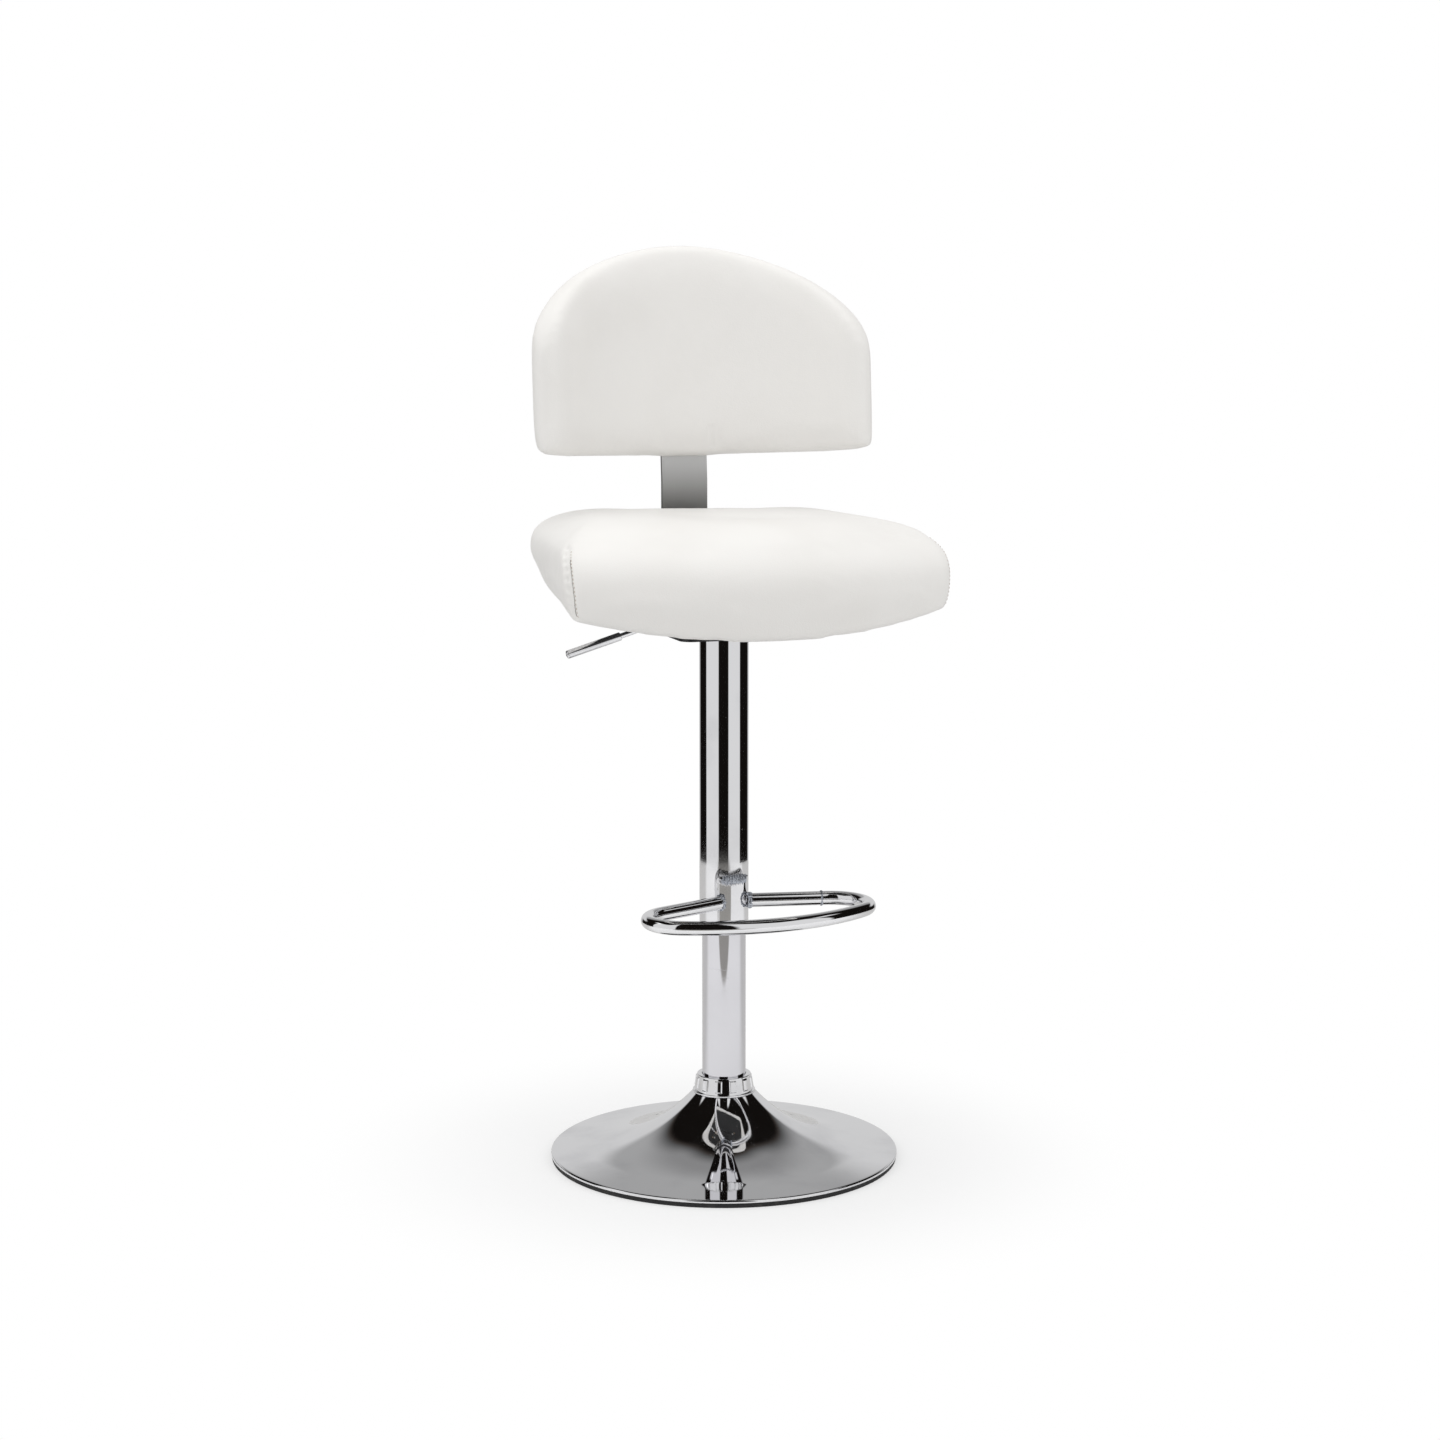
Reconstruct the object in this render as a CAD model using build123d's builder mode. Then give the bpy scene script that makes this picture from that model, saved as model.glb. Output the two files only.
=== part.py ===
"""Bar stool on a gas lift: trumpet base, telescoping column with a footrest, padded seat and curved back.

Millimetres. The origin is on the floor under the column, +Z is up and the seat faces -Y. The stool
stands as it is photographed, with the seat part of the way up its travel.
"""
import math
import os

from build123d import *

# Fits
RUNNING = 0.05  # radial clearance of what slides or turns
LOOSE = 0.5  # clearance of what only passes by
BOLT_PLAY = 0.25  # radial, in a hole that a bolt goes through

# Base: chromed trumpet on a rubber ring, with a cast weight and a socket inside
BASE_RADIUS = 200.0
BASE_SHEET = 1.5
BASE_EDGE = 4.5
DISC_SLOPE = 6.3  # degrees
TRUMPET_RADIUS = 190.0
NECK_RADIUS = 36.0
NECK_HEIGHT = 77.0
FLOOR_RING_HEIGHT = 4.5
FLOOR_RING_WIDTH = 14.0
FLOOR_RING_INSET = 1.0
BALLAST_LIFT = 3.0  # off the floor
BALLAST_TOP = 26.0
SOCKET_RADIUS = 32.0
SOCKET_TOP = 60.0

# Collar round the column, with raised pads
COLLAR_HEIGHT = 21.0
COLLAR_FOOT_RADIUS = 34.0
COLLAR_TOP_RADIUS = 31.0
COLLAR_RIM = 2.5
PAD_COUNT = 12
PAD_ARC = 13.0  # degrees
PAD_RAISE = 1.2
PAD_MARGIN = 3.0

# Column, fixed in the base
COLUMN_RADIUS = 25.0
COLUMN_WALL = 2.0
COLUMN_FOOT = 6.0  # off the floor
COLUMN_FLOOR = 4.0  # thickness of its closed end
COLUMN_TAPER = 0.8  # radius lost at the foot
BUSH_LENGTH = 75.0
BUSH_FLANGE = 3.0

# Swivel bearing at the foot of the column
RACE_RADIUS = 14.0
RACE_THICKNESS = 2.0
BALL_RADIUS = 2.0
BALL_CIRCLE = 9.5
BALL_COUNT = 10
CAGE_THICKNESS = 1.2
CAGE_BORDER = 0.9
BUMP_STOP_RADIUS = 12.0
BUMP_STOP_HEIGHT = 16.0
CLIP_RADIUS = 8.5
CLIP_THICKNESS = 1.2
CLIP_GROOVE = 1.1  # depth in the rod
CLIP_MOUTH = 5.0
ROD_END = 1.6  # rod below its clip

# Gas spring: travel from the photographed height, rod, piston, pressure tube and release pin
LIFT_UP = 85.0
LIFT_DOWN = 130.0
ROD_RADIUS = 5.0
PISTON_LENGTH = 14.0
PISTON_SPARE = 30.0  # from piston to seal at full height
TUBE_RADIUS = 14.0
TUBE_WALL = 2.0
TUBE_LENGTH = 395.0
TUBE_LID = 6.0
TUBE_TAPER = 1.44  # degrees
SEAL_LENGTH = 20.0
VALVE_LENGTH = 20.0
VALVE_FLOOR = 6.0
PIN_RADIUS = 3.5
PIN_LENGTH = 22.0
PIN_STAND = 5.7  # above the tube
PIN_DOME = 1.5

# Cover tube and footrest, which rise with the seat
COVER_RADIUS = 28.0
COVER_WALL = 1.5
COVER_LENGTH = 334.0
CAP_THICKNESS = 7.0
CAP_BUFFER = 6.5  # left above the column's mouth at full stroke
COVER_BUSH_LENGTH = 30.0
COVER_BUSH_FLANGE = 2.0
FOOTREST_HEIGHT = 305.0
FOOTREST_TURN = 6.5  # degrees from the seat's front, as photographed
FOOTREST_REACH = 160.0
FOOTREST_TUBE = 8.0  # radius
FOOTREST_WALL = 1.5
ARM_SWEEP = 17.2  # degrees forward of the seat's width
ARM_SETBACK = 23.4  # where the arms' lines cross the front of the column
ARM_START = 16.5  # sideways from the column's axis, at the side of the saddle
BEND_RADIUS = 41.0
FRONT_RADIUS = 222.0
SADDLE_THICKNESS = 3.0
SADDLE_HALF_ANGLE = 38.0
SADDLE_BOTTOM = 270.0
SADDLE_HEIGHT = 64.0

# Seat plate under the board: flange, hat, hub and lever bracket
PLATE_SHEET = 2.5
FLANGE_LENGTH = 180.0
FLANGE_WIDTH = 100.0
FLANGE_CORNER = 12.0
HAT_LENGTH = 121.0
HAT_WIDTH = 76.0
HAT_CORNER = 14.0
HAT_DEPTH = 24.7
HUB_RADIUS = 19.0
HUB_LENGTH = 24.0
HUB_STAND = 4.5  # above the underside of the hat
TUBE_STAND = 1.0  # pressure tube above the hub
PLATE_BOLTS_X = 144.0
PLATE_BOLTS_Y = 76.0

# Lever
LEVER_RADIUS = 3.0
LEVER_GAP = 0.3  # above the release pin
LEVER_INNER = 5.0  # past the column's axis
LEVER_PIVOT = 28.0  # from the column's axis
LEVER_BEND = 90.7
LEVER_BEND_RADIUS = 15.0
LEVER_DROOP = 16.7  # degrees
LEVER_RUN = 97.4  # from the bend to the tip
LEVER_SLOT_WIDTH = 16.0
LEVER_SLOT_LENGTH = 34.5  # in from the edge of the flange
GRIP_LENGTH = 65.0
GRIP_RADIUS = 4.8
GRIP_END = 3.0
GRIP_ROUND = 2.4
BOSS_RADIUS = 5.5
BOSS_LENGTH = 14.0
PIVOT_RADIUS = 2.5
EAR_THICKNESS = 2.0
EAR_WIDTH = 12.0
EAR_TOP = 5.0  # above the pivot
PIVOT_STAND = 1.0  # pin past its ears

# Seat: bent plywood board in a padded cushion
SEAT_TOP = 743.0
SEAT_DEPTH = 118.3  # crown to the lowest point of the front lip
SEAT_FRONT = 195.0
SEAT_FRONT_BOW = 52.0
SEAT_HALF_FRONT = 223.0
SEAT_HALF_REAR = 193.0
SEAT_CORNER_FRONT = 28.0
SEAT_CORNER_REAR = 46.0
SEAT_FOOT_CORNER_FRONT = 10.0
SEAT_FOOT_CORNER_REAR = 76.0
SEAT_CORNER_EASE = 0.2  # radius lost for each millimetre of inset
SEAT_WIDEST = 45.0  # below the crown, at the rear
SEAT_WIDEST_FRONT = 74.0
SEAT_WIDEST_SIDE_FRONT = 54.0
SEAT_BAR_GAP = 5.0
SEAT_WRAP = 3.5  # of the cushion's rim below the board
DRAW_IN_FRONT = 7.0  # from the widest level in to the foot
DRAW_IN_REAR = 33.0
DRAW_IN_SIDE_FRONT = 13.5
DRAW_IN_SIDE_REAR = 53.0
DRAW_IN_CURVE = 1.3  # exponent of the drawn-in sides
ROLL_IN_FRONT = 124.0  # from the widest level in to the flat of the crown
ROLL_IN_REAR = 26.0
ROLL_IN_SIDE_FRONT = 94.5
ROLL_IN_SIDE_REAR = 78.0
SEAT_ROLL_CURVE = 0.6  # exponent of the rolled edge: 1 is an ellipse
SEAT_ROLL_CURVE_FRONT = 0.87
SEAT_SIDE_STEPS = 4
SEAT_ROLL_STEPS = 6
BAR_NOTCH = 7.0  # let into the cushion's underside where the bar leaves it
BOARD_BOW_RADIUS = 940.0
BOARD_THICKNESS = 15.0
BOARD_INSET = 12.0
ROUTED_DEPTH = 4.5  # flat let into the board for plate and bar
DUST_THICKNESS = 0.8
DUST_INSET = 13.0

# Fasteners
BOLT_RADIUS = 3.0
BOLT_HEAD_RADIUS = 5.6
BOLT_HEAD_HEIGHT = 4.0
BOLT_FLANGE_RADIUS = 6.5
BOLT_FLANGE_HEIGHT = 1.6
TEE_RADIUS = 4.0
TEE_FLANGE_RADIUS = 9.0
TEE_FLANGE = 1.5
TEE_LENGTH = 9.0

# Backrest: curved pad with a bent board inside, and the bar that carries it
BACK_HEIGHT = 246.0
BACK_SIDE_HEIGHT = 112.0
BACK_HALF_ARC = 224.0
BACK_BEND_RADIUS = 243.7
BACK_ARCH = 1.76  # exponent of the arch: 2 is an ellipse
BACK_THICKNESS = 44.0
BACK_LEAN = 4.7  # degrees
BACK_BOTTOM = 796.6
BACK_SETBACK = 143.4
BACK_TIP_RISE = 9.0
PAD_EDGE_ROUND = 0.42  # share of the pad's thickness
TIP_THINNING = 0.82  # of the thickness squared, at the tips
TIP_THINNING_CURVE = 8
TIP_RISE_CURVE = 6
PAD_STEPS = 8  # sections from the middle to a tip
BACK_BOARD_THICKNESS = 9.0
BACK_BOARD_BEHIND = 2.25  # its rear face behind the middle of the pad
BACK_BOARD_ANGLE = 36.0
BACK_BOARD_BOTTOM = 25.0
BACK_BOARD_HEIGHT = 150.0
BAR_WIDTH = 55.0
BAR_THICKNESS = 5.0
BAR_PLATE_GAP = 1.0
BAR_BEND_RADIUS = 40.0
BAR_KNEE_RADIUS = 150.0
BAR_KNEE = 25.0  # below the pad
BAR_TOP = 150.0  # above the pad's lower edge
BAR_BOLTS_X = 28.0
BAR_BOLTS_Y = 22.0
BAR_BOLT_EDGE = 10.5
BACK_BOLTS_Z = 70.0
BACK_BOLT_EDGE = 25.0

# Heights that follow, from the seat down
lip = SEAT_TOP - SEAT_DEPTH
plate_top = lip + ROUTED_DEPTH
hat_bottom = plate_top - HAT_DEPTH
hub_top = hat_bottom + HUB_STAND
hub_bottom = hub_top - HUB_LENGTH
tube_top = hub_top + TUBE_STAND
tube_bottom = tube_top - TUBE_LENGTH
tube_bore = TUBE_RADIUS - TUBE_WALL
tube_top_radius = TUBE_RADIUS - (tube_top - hub_bottom) * math.tan(math.radians(TUBE_TAPER))
cap_top = hub_bottom - LOOSE
cap_bottom = cap_top - CAP_THICKNESS
cover_bottom = hat_bottom - COVER_LENGTH
cover_bore = COVER_RADIUS - COVER_WALL
column_top = cap_bottom - LIFT_DOWN - CAP_BUFFER
column_bore = COLUMN_RADIUS - COLUMN_WALL
piston_bottom = tube_bottom + SEAL_LENGTH + LIFT_UP + PISTON_SPARE
piston_top = piston_bottom + PISTON_LENGTH
saddle_radius = COVER_RADIUS + SADDLE_THICKNESS
pin_top = tube_top + PIN_STAND
lever_height = pin_top + LEVER_GAP + LEVER_RADIUS


def halfway(centre, start, end):
    """Middle of the shorter arc about centre from start to end."""
    start_arm = Vector(*start) - Vector(*centre)
    end_arm = Vector(*end) - Vector(*centre)
    arm = (start_arm + end_arm).normalized() * start_arm.length
    return Vector(*centre) + arm


def annulus(height, outer, inner):
    """Flat ring about the column's axis."""
    with BuildSketch(Plane.XY.offset(height)) as ring:
        Circle(outer)
        Circle(inner, mode=Mode.SUBTRACT)
    return ring.sketch


# Floor ring: rubber, with its lower outer edge rounded
floor_ring_outer = BASE_RADIUS - FLOOR_RING_INSET
floor_ring_inner = floor_ring_outer - FLOOR_RING_WIDTH
with BuildPart() as floor_ring:
    extrude(annulus(0, floor_ring_outer, floor_ring_inner), amount=FLOOR_RING_HEIGHT)
    fillet(floor_ring.edges().group_by(Axis.Z)[0].sort_by(SortBy.LENGTH)[-1], FLOOR_RING_INSET)

# Base shell: a shallow cone from the edge, then one wide arc up to the neck
slope = math.radians(DISC_SLOPE)
rim_top = FLOOR_RING_HEIGHT + BASE_EDGE
inward = Vector(-math.cos(slope), math.sin(slope))
upward = Vector(math.sin(slope), math.cos(slope))
rim = Vector(BASE_RADIUS, rim_top)
neck = Vector(NECK_RADIUS, NECK_HEIGHT)
from_neck = rim + upward * TRUMPET_RADIUS - neck
along = from_neck.dot(inward)
disc_run = -along - math.sqrt(along**2 - from_neck.dot(from_neck) + TRUMPET_RADIUS**2)
arc_centre = rim + inward * disc_run + upward * TRUMPET_RADIUS
disc_end = arc_centre - upward * TRUMPET_RADIUS
inner_radius = TRUMPET_RADIUS + BASE_SHEET
inner_disc_end = arc_centre - upward * inner_radius
inner_neck_height = NECK_HEIGHT - BASE_SHEET
inner_neck_drop = arc_centre.Y - inner_neck_height
inner_neck = Vector(arc_centre.X - math.sqrt(inner_radius**2 - inner_neck_drop**2), inner_neck_height)


def under_disc(radius):
    """Height of the underside of the conical disc at a radius."""
    return rim_top + (BASE_RADIUS - radius) * math.tan(slope) - BASE_SHEET / math.cos(slope)


wall_radius = BASE_RADIUS - BASE_SHEET
neck_bore = COLUMN_RADIUS + LOOSE
with BuildPart() as base_shell:
    with BuildSketch(Plane.XZ):
        with BuildLine():
            Polyline((neck_bore, NECK_HEIGHT), neck)
            ThreePointArc(neck, halfway(arc_centre, neck, disc_end), disc_end)
            Polyline(
                disc_end,
                rim,
                (BASE_RADIUS, FLOOR_RING_HEIGHT),
                (wall_radius, FLOOR_RING_HEIGHT),
                (wall_radius, under_disc(wall_radius)),
                inner_disc_end,
            )
            ThreePointArc(inner_disc_end, halfway(arc_centre, inner_disc_end, inner_neck), inner_neck)
            Polyline(inner_neck, (neck_bore, inner_neck_height), (neck_bore, NECK_HEIGHT))
        make_face()
    revolve(axis=Axis.Z)
    widest_edges = base_shell.edges().filter_by(GeomType.CIRCLE).group_by(SortBy.RADIUS)[-1]
    fillet(widest_edges.sort_by(Axis.Z)[-1], BASE_SHEET)

# Ballast: cast disc that follows the shell from within
ballast_radius = floor_ring_inner - LOOSE
ballast_arc = inner_radius + LOOSE
ballast_flare = arc_centre - upward * ballast_arc
ballast_drop = arc_centre.Y - BALLAST_TOP
ballast_shoulder = Vector(arc_centre.X - math.sqrt(ballast_arc**2 - ballast_drop**2), BALLAST_TOP)
ballast_middle = halfway(arc_centre, ballast_flare, ballast_shoulder)
with BuildPart() as base_ballast:
    with BuildSketch(Plane.XZ):
        with BuildLine():
            Polyline(
                ballast_shoulder,
                (SOCKET_RADIUS, BALLAST_TOP),
                (SOCKET_RADIUS, BALLAST_LIFT),
                (ballast_radius, BALLAST_LIFT),
                (ballast_radius, under_disc(ballast_radius) - LOOSE),
                ballast_flare,
            )
            ThreePointArc(ballast_flare, ballast_middle, ballast_shoulder)
        make_face()
    revolve(axis=Axis.Z)

# Socket: steel sleeve with a tapered bore that wedges the column's foot
foot_radius = COLUMN_RADIUS - COLUMN_TAPER
with BuildPart() as column_socket:
    with BuildSketch(Plane.XZ):
        with BuildLine():
            Polyline(
                (foot_radius, COLUMN_FOOT),
                (foot_radius, BALLAST_LIFT),
                (SOCKET_RADIUS, BALLAST_LIFT),
                (SOCKET_RADIUS, SOCKET_TOP),
                (COLUMN_RADIUS, SOCKET_TOP),
                close=True,
            )
        make_face()
    revolve(axis=Axis.Z)

# Collar: tapered ring on the neck with a rim at its foot and pads that stand out all round
collar_top = NECK_HEIGHT + COLLAR_HEIGHT
collar_lean = (COLLAR_FOOT_RADIUS - COLLAR_TOP_RADIUS) / COLLAR_HEIGHT
pad_bottom = COLLAR_RIM + PAD_MARGIN
pad_top = COLLAR_HEIGHT - PAD_MARGIN


def collar_radius(height):
    """Radius of the collar's wall at a height above the neck."""
    return COLLAR_FOOT_RADIUS - collar_lean * height


with BuildPart() as neck_collar:
    with BuildSketch(Plane.XZ):
        with BuildLine():
            Polyline(
                (neck_bore, NECK_HEIGHT),
                (NECK_RADIUS, NECK_HEIGHT),
                (NECK_RADIUS, NECK_HEIGHT + COLLAR_RIM),
                (collar_radius(COLLAR_RIM), NECK_HEIGHT + COLLAR_RIM),
                (COLLAR_TOP_RADIUS, collar_top),
                (neck_bore, collar_top),
                close=True,
            )
        make_face()
    revolve(axis=Axis.Z)
    for pad in range(PAD_COUNT):
        pad_turn = math.radians(pad * 360 / PAD_COUNT - PAD_ARC / 2)
        outwards = Vector(math.cos(pad_turn), math.sin(pad_turn))
        with BuildSketch(Plane((0, 0, 0), x_dir=outwards, z_dir=outwards.cross(Vector(0, 0, 1)))):
            with BuildLine():
                Polyline(
                    (neck_bore + LOOSE, NECK_HEIGHT + pad_bottom),
                    (collar_radius(pad_bottom) + PAD_RAISE, NECK_HEIGHT + pad_bottom),
                    (collar_radius(pad_top) + PAD_RAISE, NECK_HEIGHT + pad_top),
                    (neck_bore + LOOSE, NECK_HEIGHT + pad_top),
                    close=True,
                )
            make_face()
        revolve(axis=Axis.Z, revolution_arc=PAD_ARC)

# Column: tube with a tapered foot and a closed end that the rod passes through
column_floor_top = COLUMN_FOOT + COLUMN_FLOOR
rod_hole = ROD_RADIUS + RUNNING
with BuildPart() as column_tube:
    with BuildSketch(Plane.XZ):
        with BuildLine():
            Polyline(
                (rod_hole, COLUMN_FOOT),
                (foot_radius, COLUMN_FOOT),
                (COLUMN_RADIUS, SOCKET_TOP),
                (COLUMN_RADIUS, column_top),
                (column_bore, column_top),
                (column_bore, SOCKET_TOP),
                (foot_radius - COLUMN_WALL, column_floor_top),
                (rod_hole, column_floor_top),
                close=True,
            )
        make_face()
    revolve(axis=Axis.Z)

# Guide bush: plastic sleeve in the column's mouth
with BuildPart() as guide_bush:
    extrude(annulus(column_top - BUSH_LENGTH, column_bore, TUBE_RADIUS + RUNNING), amount=BUSH_LENGTH)
    extrude(annulus(column_top, COLUMN_RADIUS, TUBE_RADIUS + RUNNING), amount=BUSH_FLANGE)

# Swivel bearing: race, balls in a cage, race
balls_height = column_floor_top + RACE_THICKNESS + RUNNING + BALL_RADIUS
upper_race_bottom = balls_height + BALL_RADIUS + RUNNING
with BuildPart() as bearing_lower_race:
    extrude(annulus(column_floor_top, RACE_RADIUS, ROD_RADIUS + LOOSE), amount=RACE_THICKNESS)

with BuildPart() as bearing_balls:
    with Locations((0, 0, balls_height)):
        with PolarLocations(BALL_CIRCLE, BALL_COUNT):
            Sphere(BALL_RADIUS)

cage_half_width = BALL_RADIUS + CAGE_BORDER
with BuildPart() as bearing_cage:
    with BuildSketch(Plane.XY.offset(balls_height - CAGE_THICKNESS / 2)):
        Circle(BALL_CIRCLE + cage_half_width)
        Circle(BALL_CIRCLE - cage_half_width, mode=Mode.SUBTRACT)
        with PolarLocations(BALL_CIRCLE, BALL_COUNT):
            Circle(BALL_RADIUS + RUNNING, mode=Mode.SUBTRACT)
    extrude(amount=CAGE_THICKNESS)

with BuildPart() as bearing_upper_race:
    extrude(annulus(upper_race_bottom, RACE_RADIUS, ROD_RADIUS), amount=RACE_THICKNESS)

# Bump stop: rubber sleeve on the rod, above the bearing
bump_stop_bottom = upper_race_bottom + RACE_THICKNESS
with BuildPart() as bump_stop:
    extrude(annulus(bump_stop_bottom, BUMP_STOP_RADIUS, ROD_RADIUS), amount=BUMP_STOP_HEIGHT)

# Rod: through the bearing and the column's closed end, with a groove for its clip
clip_top = COLUMN_FOOT - LOOSE
clip_bottom = clip_top - CLIP_THICKNESS
groove_radius = ROD_RADIUS - CLIP_GROOVE
with BuildPart() as piston_rod:
    with BuildSketch(Plane.XY.offset(clip_bottom - ROD_END)):
        Circle(ROD_RADIUS)
    extrude(amount=piston_top - clip_bottom + ROD_END)
    extrude(annulus(clip_bottom, ROD_RADIUS, groove_radius), amount=CLIP_THICKNESS, mode=Mode.SUBTRACT)

with BuildPart() as rod_clip:
    with BuildSketch(Plane.XY.offset(clip_bottom)):
        Circle(CLIP_RADIUS)
        Circle(groove_radius, mode=Mode.SUBTRACT)
        with Locations((CLIP_RADIUS, 0)):
            Rectangle(2 * CLIP_RADIUS, CLIP_MOUTH, mode=Mode.SUBTRACT)
    extrude(amount=CLIP_THICKNESS)

with BuildPart() as piston_head:
    extrude(annulus(piston_bottom, tube_bore - RUNNING, ROD_RADIUS), amount=PISTON_LENGTH)

# Pressure tube: straight below, tapered where the hub holds it, closed above but for the pin
pin_hole = PIN_RADIUS + RUNNING
lid_bottom = tube_top - TUBE_LID
with BuildPart() as pressure_tube:
    with BuildSketch(Plane.XZ):
        with BuildLine():
            Polyline(
                (tube_bore, tube_bottom),
                (TUBE_RADIUS, tube_bottom),
                (TUBE_RADIUS, hub_bottom),
                (tube_top_radius, tube_top),
                (pin_hole, tube_top),
                (pin_hole, lid_bottom),
                (tube_bore, lid_bottom),
                close=True,
            )
        make_face()
    revolve(axis=Axis.Z)

with BuildPart() as rod_seal:
    extrude(annulus(tube_bottom, tube_bore, ROD_RADIUS + RUNNING), amount=SEAL_LENGTH)

with BuildPart() as valve_body:
    with BuildSketch(Plane.XY.offset(lid_bottom - VALVE_LENGTH)):
        Circle(tube_bore)
    extrude(amount=VALVE_LENGTH)
    with BuildSketch(Plane.XY.offset(lid_bottom - VALVE_LENGTH + VALVE_FLOOR)):
        Circle(pin_hole)
    extrude(amount=VALVE_LENGTH - VALVE_FLOOR, mode=Mode.SUBTRACT)

# Release pin: domed top under the lever
pin_shoulder = pin_top - PIN_DOME
with BuildPart() as valve_pin:
    with BuildSketch(Plane.XZ):
        with BuildLine():
            Polyline(
                (0, pin_top),
                (0, pin_top - PIN_LENGTH),
                (PIN_RADIUS, pin_top - PIN_LENGTH),
                (PIN_RADIUS, pin_shoulder),
            )
            dome_radius = (PIN_RADIUS**2 + PIN_DOME**2) / (2 * PIN_DOME)
            dome_centre = (0, pin_top - dome_radius)
            ThreePointArc(
                (PIN_RADIUS, pin_shoulder),
                halfway(dome_centre, (PIN_RADIUS, pin_shoulder), (0, pin_top)),
                (0, pin_top),
            )
        make_face()
    revolve(axis=Axis.Z)

# Cover tube, its cap on the pressure tube and its bush on the column
with BuildPart() as cover_tube:
    extrude(annulus(cover_bottom, COVER_RADIUS, cover_bore), amount=COVER_LENGTH)

with BuildPart() as cover_cap:
    extrude(annulus(cap_bottom, cover_bore, TUBE_RADIUS), amount=CAP_THICKNESS)

cover_bush_bore = COLUMN_RADIUS + RUNNING
with BuildPart() as cover_bush:
    extrude(annulus(cover_bottom, cover_bore, cover_bush_bore), amount=COVER_BUSH_LENGTH)
    extrude(annulus(cover_bottom, COVER_RADIUS, cover_bush_bore), amount=-COVER_BUSH_FLANGE)

# Footrest: its own plane, whose -Y is the footrest's front
turn = math.radians(FOOTREST_TURN)
footrest_plane = Plane((0, 0, FOOTREST_HEIGHT), x_dir=(math.cos(turn), math.sin(turn), 0), z_dir=(0, 0, 1))
saddle_plane = Plane((0, 0, SADDLE_BOTTOM), x_dir=footrest_plane.x_dir, z_dir=(0, 0, 1))

with BuildPart() as footrest_saddle:
    with BuildSketch(saddle_plane):
        with BuildLine():
            CenterArc((0, 0), COVER_RADIUS, -90 - SADDLE_HALF_ANGLE, 2 * SADDLE_HALF_ANGLE)
            CenterArc((0, 0), saddle_radius, -90 - SADDLE_HALF_ANGLE, 2 * SADDLE_HALF_ANGLE)
            for side in (-1, 1):
                edge_angle = math.radians(-90 + side * SADDLE_HALF_ANGLE)
                edge = Vector(math.cos(edge_angle), math.sin(edge_angle))
                Line(edge * COVER_RADIUS, edge * saddle_radius)
        make_face()
    extrude(amount=SADDLE_HEIGHT)

# Footrest tube: straight arm, bend, bowed front, bend, straight arm, its ends cut to the saddle
sweep_angle = math.radians(ARM_SWEEP)
arm_way = Vector(math.cos(sweep_angle), -math.sin(sweep_angle))
arm_left = Vector(-math.sin(sweep_angle), -math.cos(sweep_angle))
arm_root = Vector(0, -ARM_SETBACK)
front_centre = Vector(0, FRONT_RADIUS - FOOTREST_REACH)
bend_line = arm_root + arm_left * BEND_RADIUS - front_centre
bend_along = bend_line.dot(arm_way)
bend_reach = (FRONT_RADIUS - BEND_RADIUS) ** 2 - bend_line.dot(bend_line)
arm_length = -bend_along + math.sqrt(bend_along**2 + bend_reach)
bend_start = arm_root + arm_way * arm_length
bend_centre = bend_start + arm_left * BEND_RADIUS
bend_end = front_centre + (bend_centre - front_centre).normalized() * FRONT_RADIUS
arm_start = arm_root + arm_way * (ARM_START / math.cos(sweep_angle))
bend_middle = halfway(bend_centre, bend_start, bend_end)
front_middle = Vector(0, -FOOTREST_REACH)


def on_footrest(point, side):
    """A point of the footrest's plane, on its own side (1) or mirrored (-1), in the stool's frame."""
    return footrest_plane.from_local_coords(Vector(side * point.X, point.Y))


with BuildPart() as footrest_ring:
    with BuildLine() as footrest_path:
        Line(on_footrest(arm_start, 1), on_footrest(bend_start, 1))
        ThreePointArc(on_footrest(bend_start, 1), on_footrest(bend_middle, 1), on_footrest(bend_end, 1))
        ThreePointArc(on_footrest(bend_end, 1), on_footrest(front_middle, 1), on_footrest(bend_end, -1))
        ThreePointArc(on_footrest(bend_end, -1), on_footrest(bend_middle, -1), on_footrest(bend_start, -1))
        Line(on_footrest(bend_start, -1), on_footrest(arm_start, -1))
    with BuildSketch(Plane(footrest_path.line @ 0, z_dir=footrest_path.line % 0)):
        Circle(FOOTREST_TUBE)
        Circle(FOOTREST_TUBE - FOOTREST_WALL, mode=Mode.SUBTRACT)
    sweep()
    with BuildSketch(saddle_plane):
        Circle(saddle_radius)
    extrude(amount=SADDLE_HEIGHT, mode=Mode.SUBTRACT)

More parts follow.
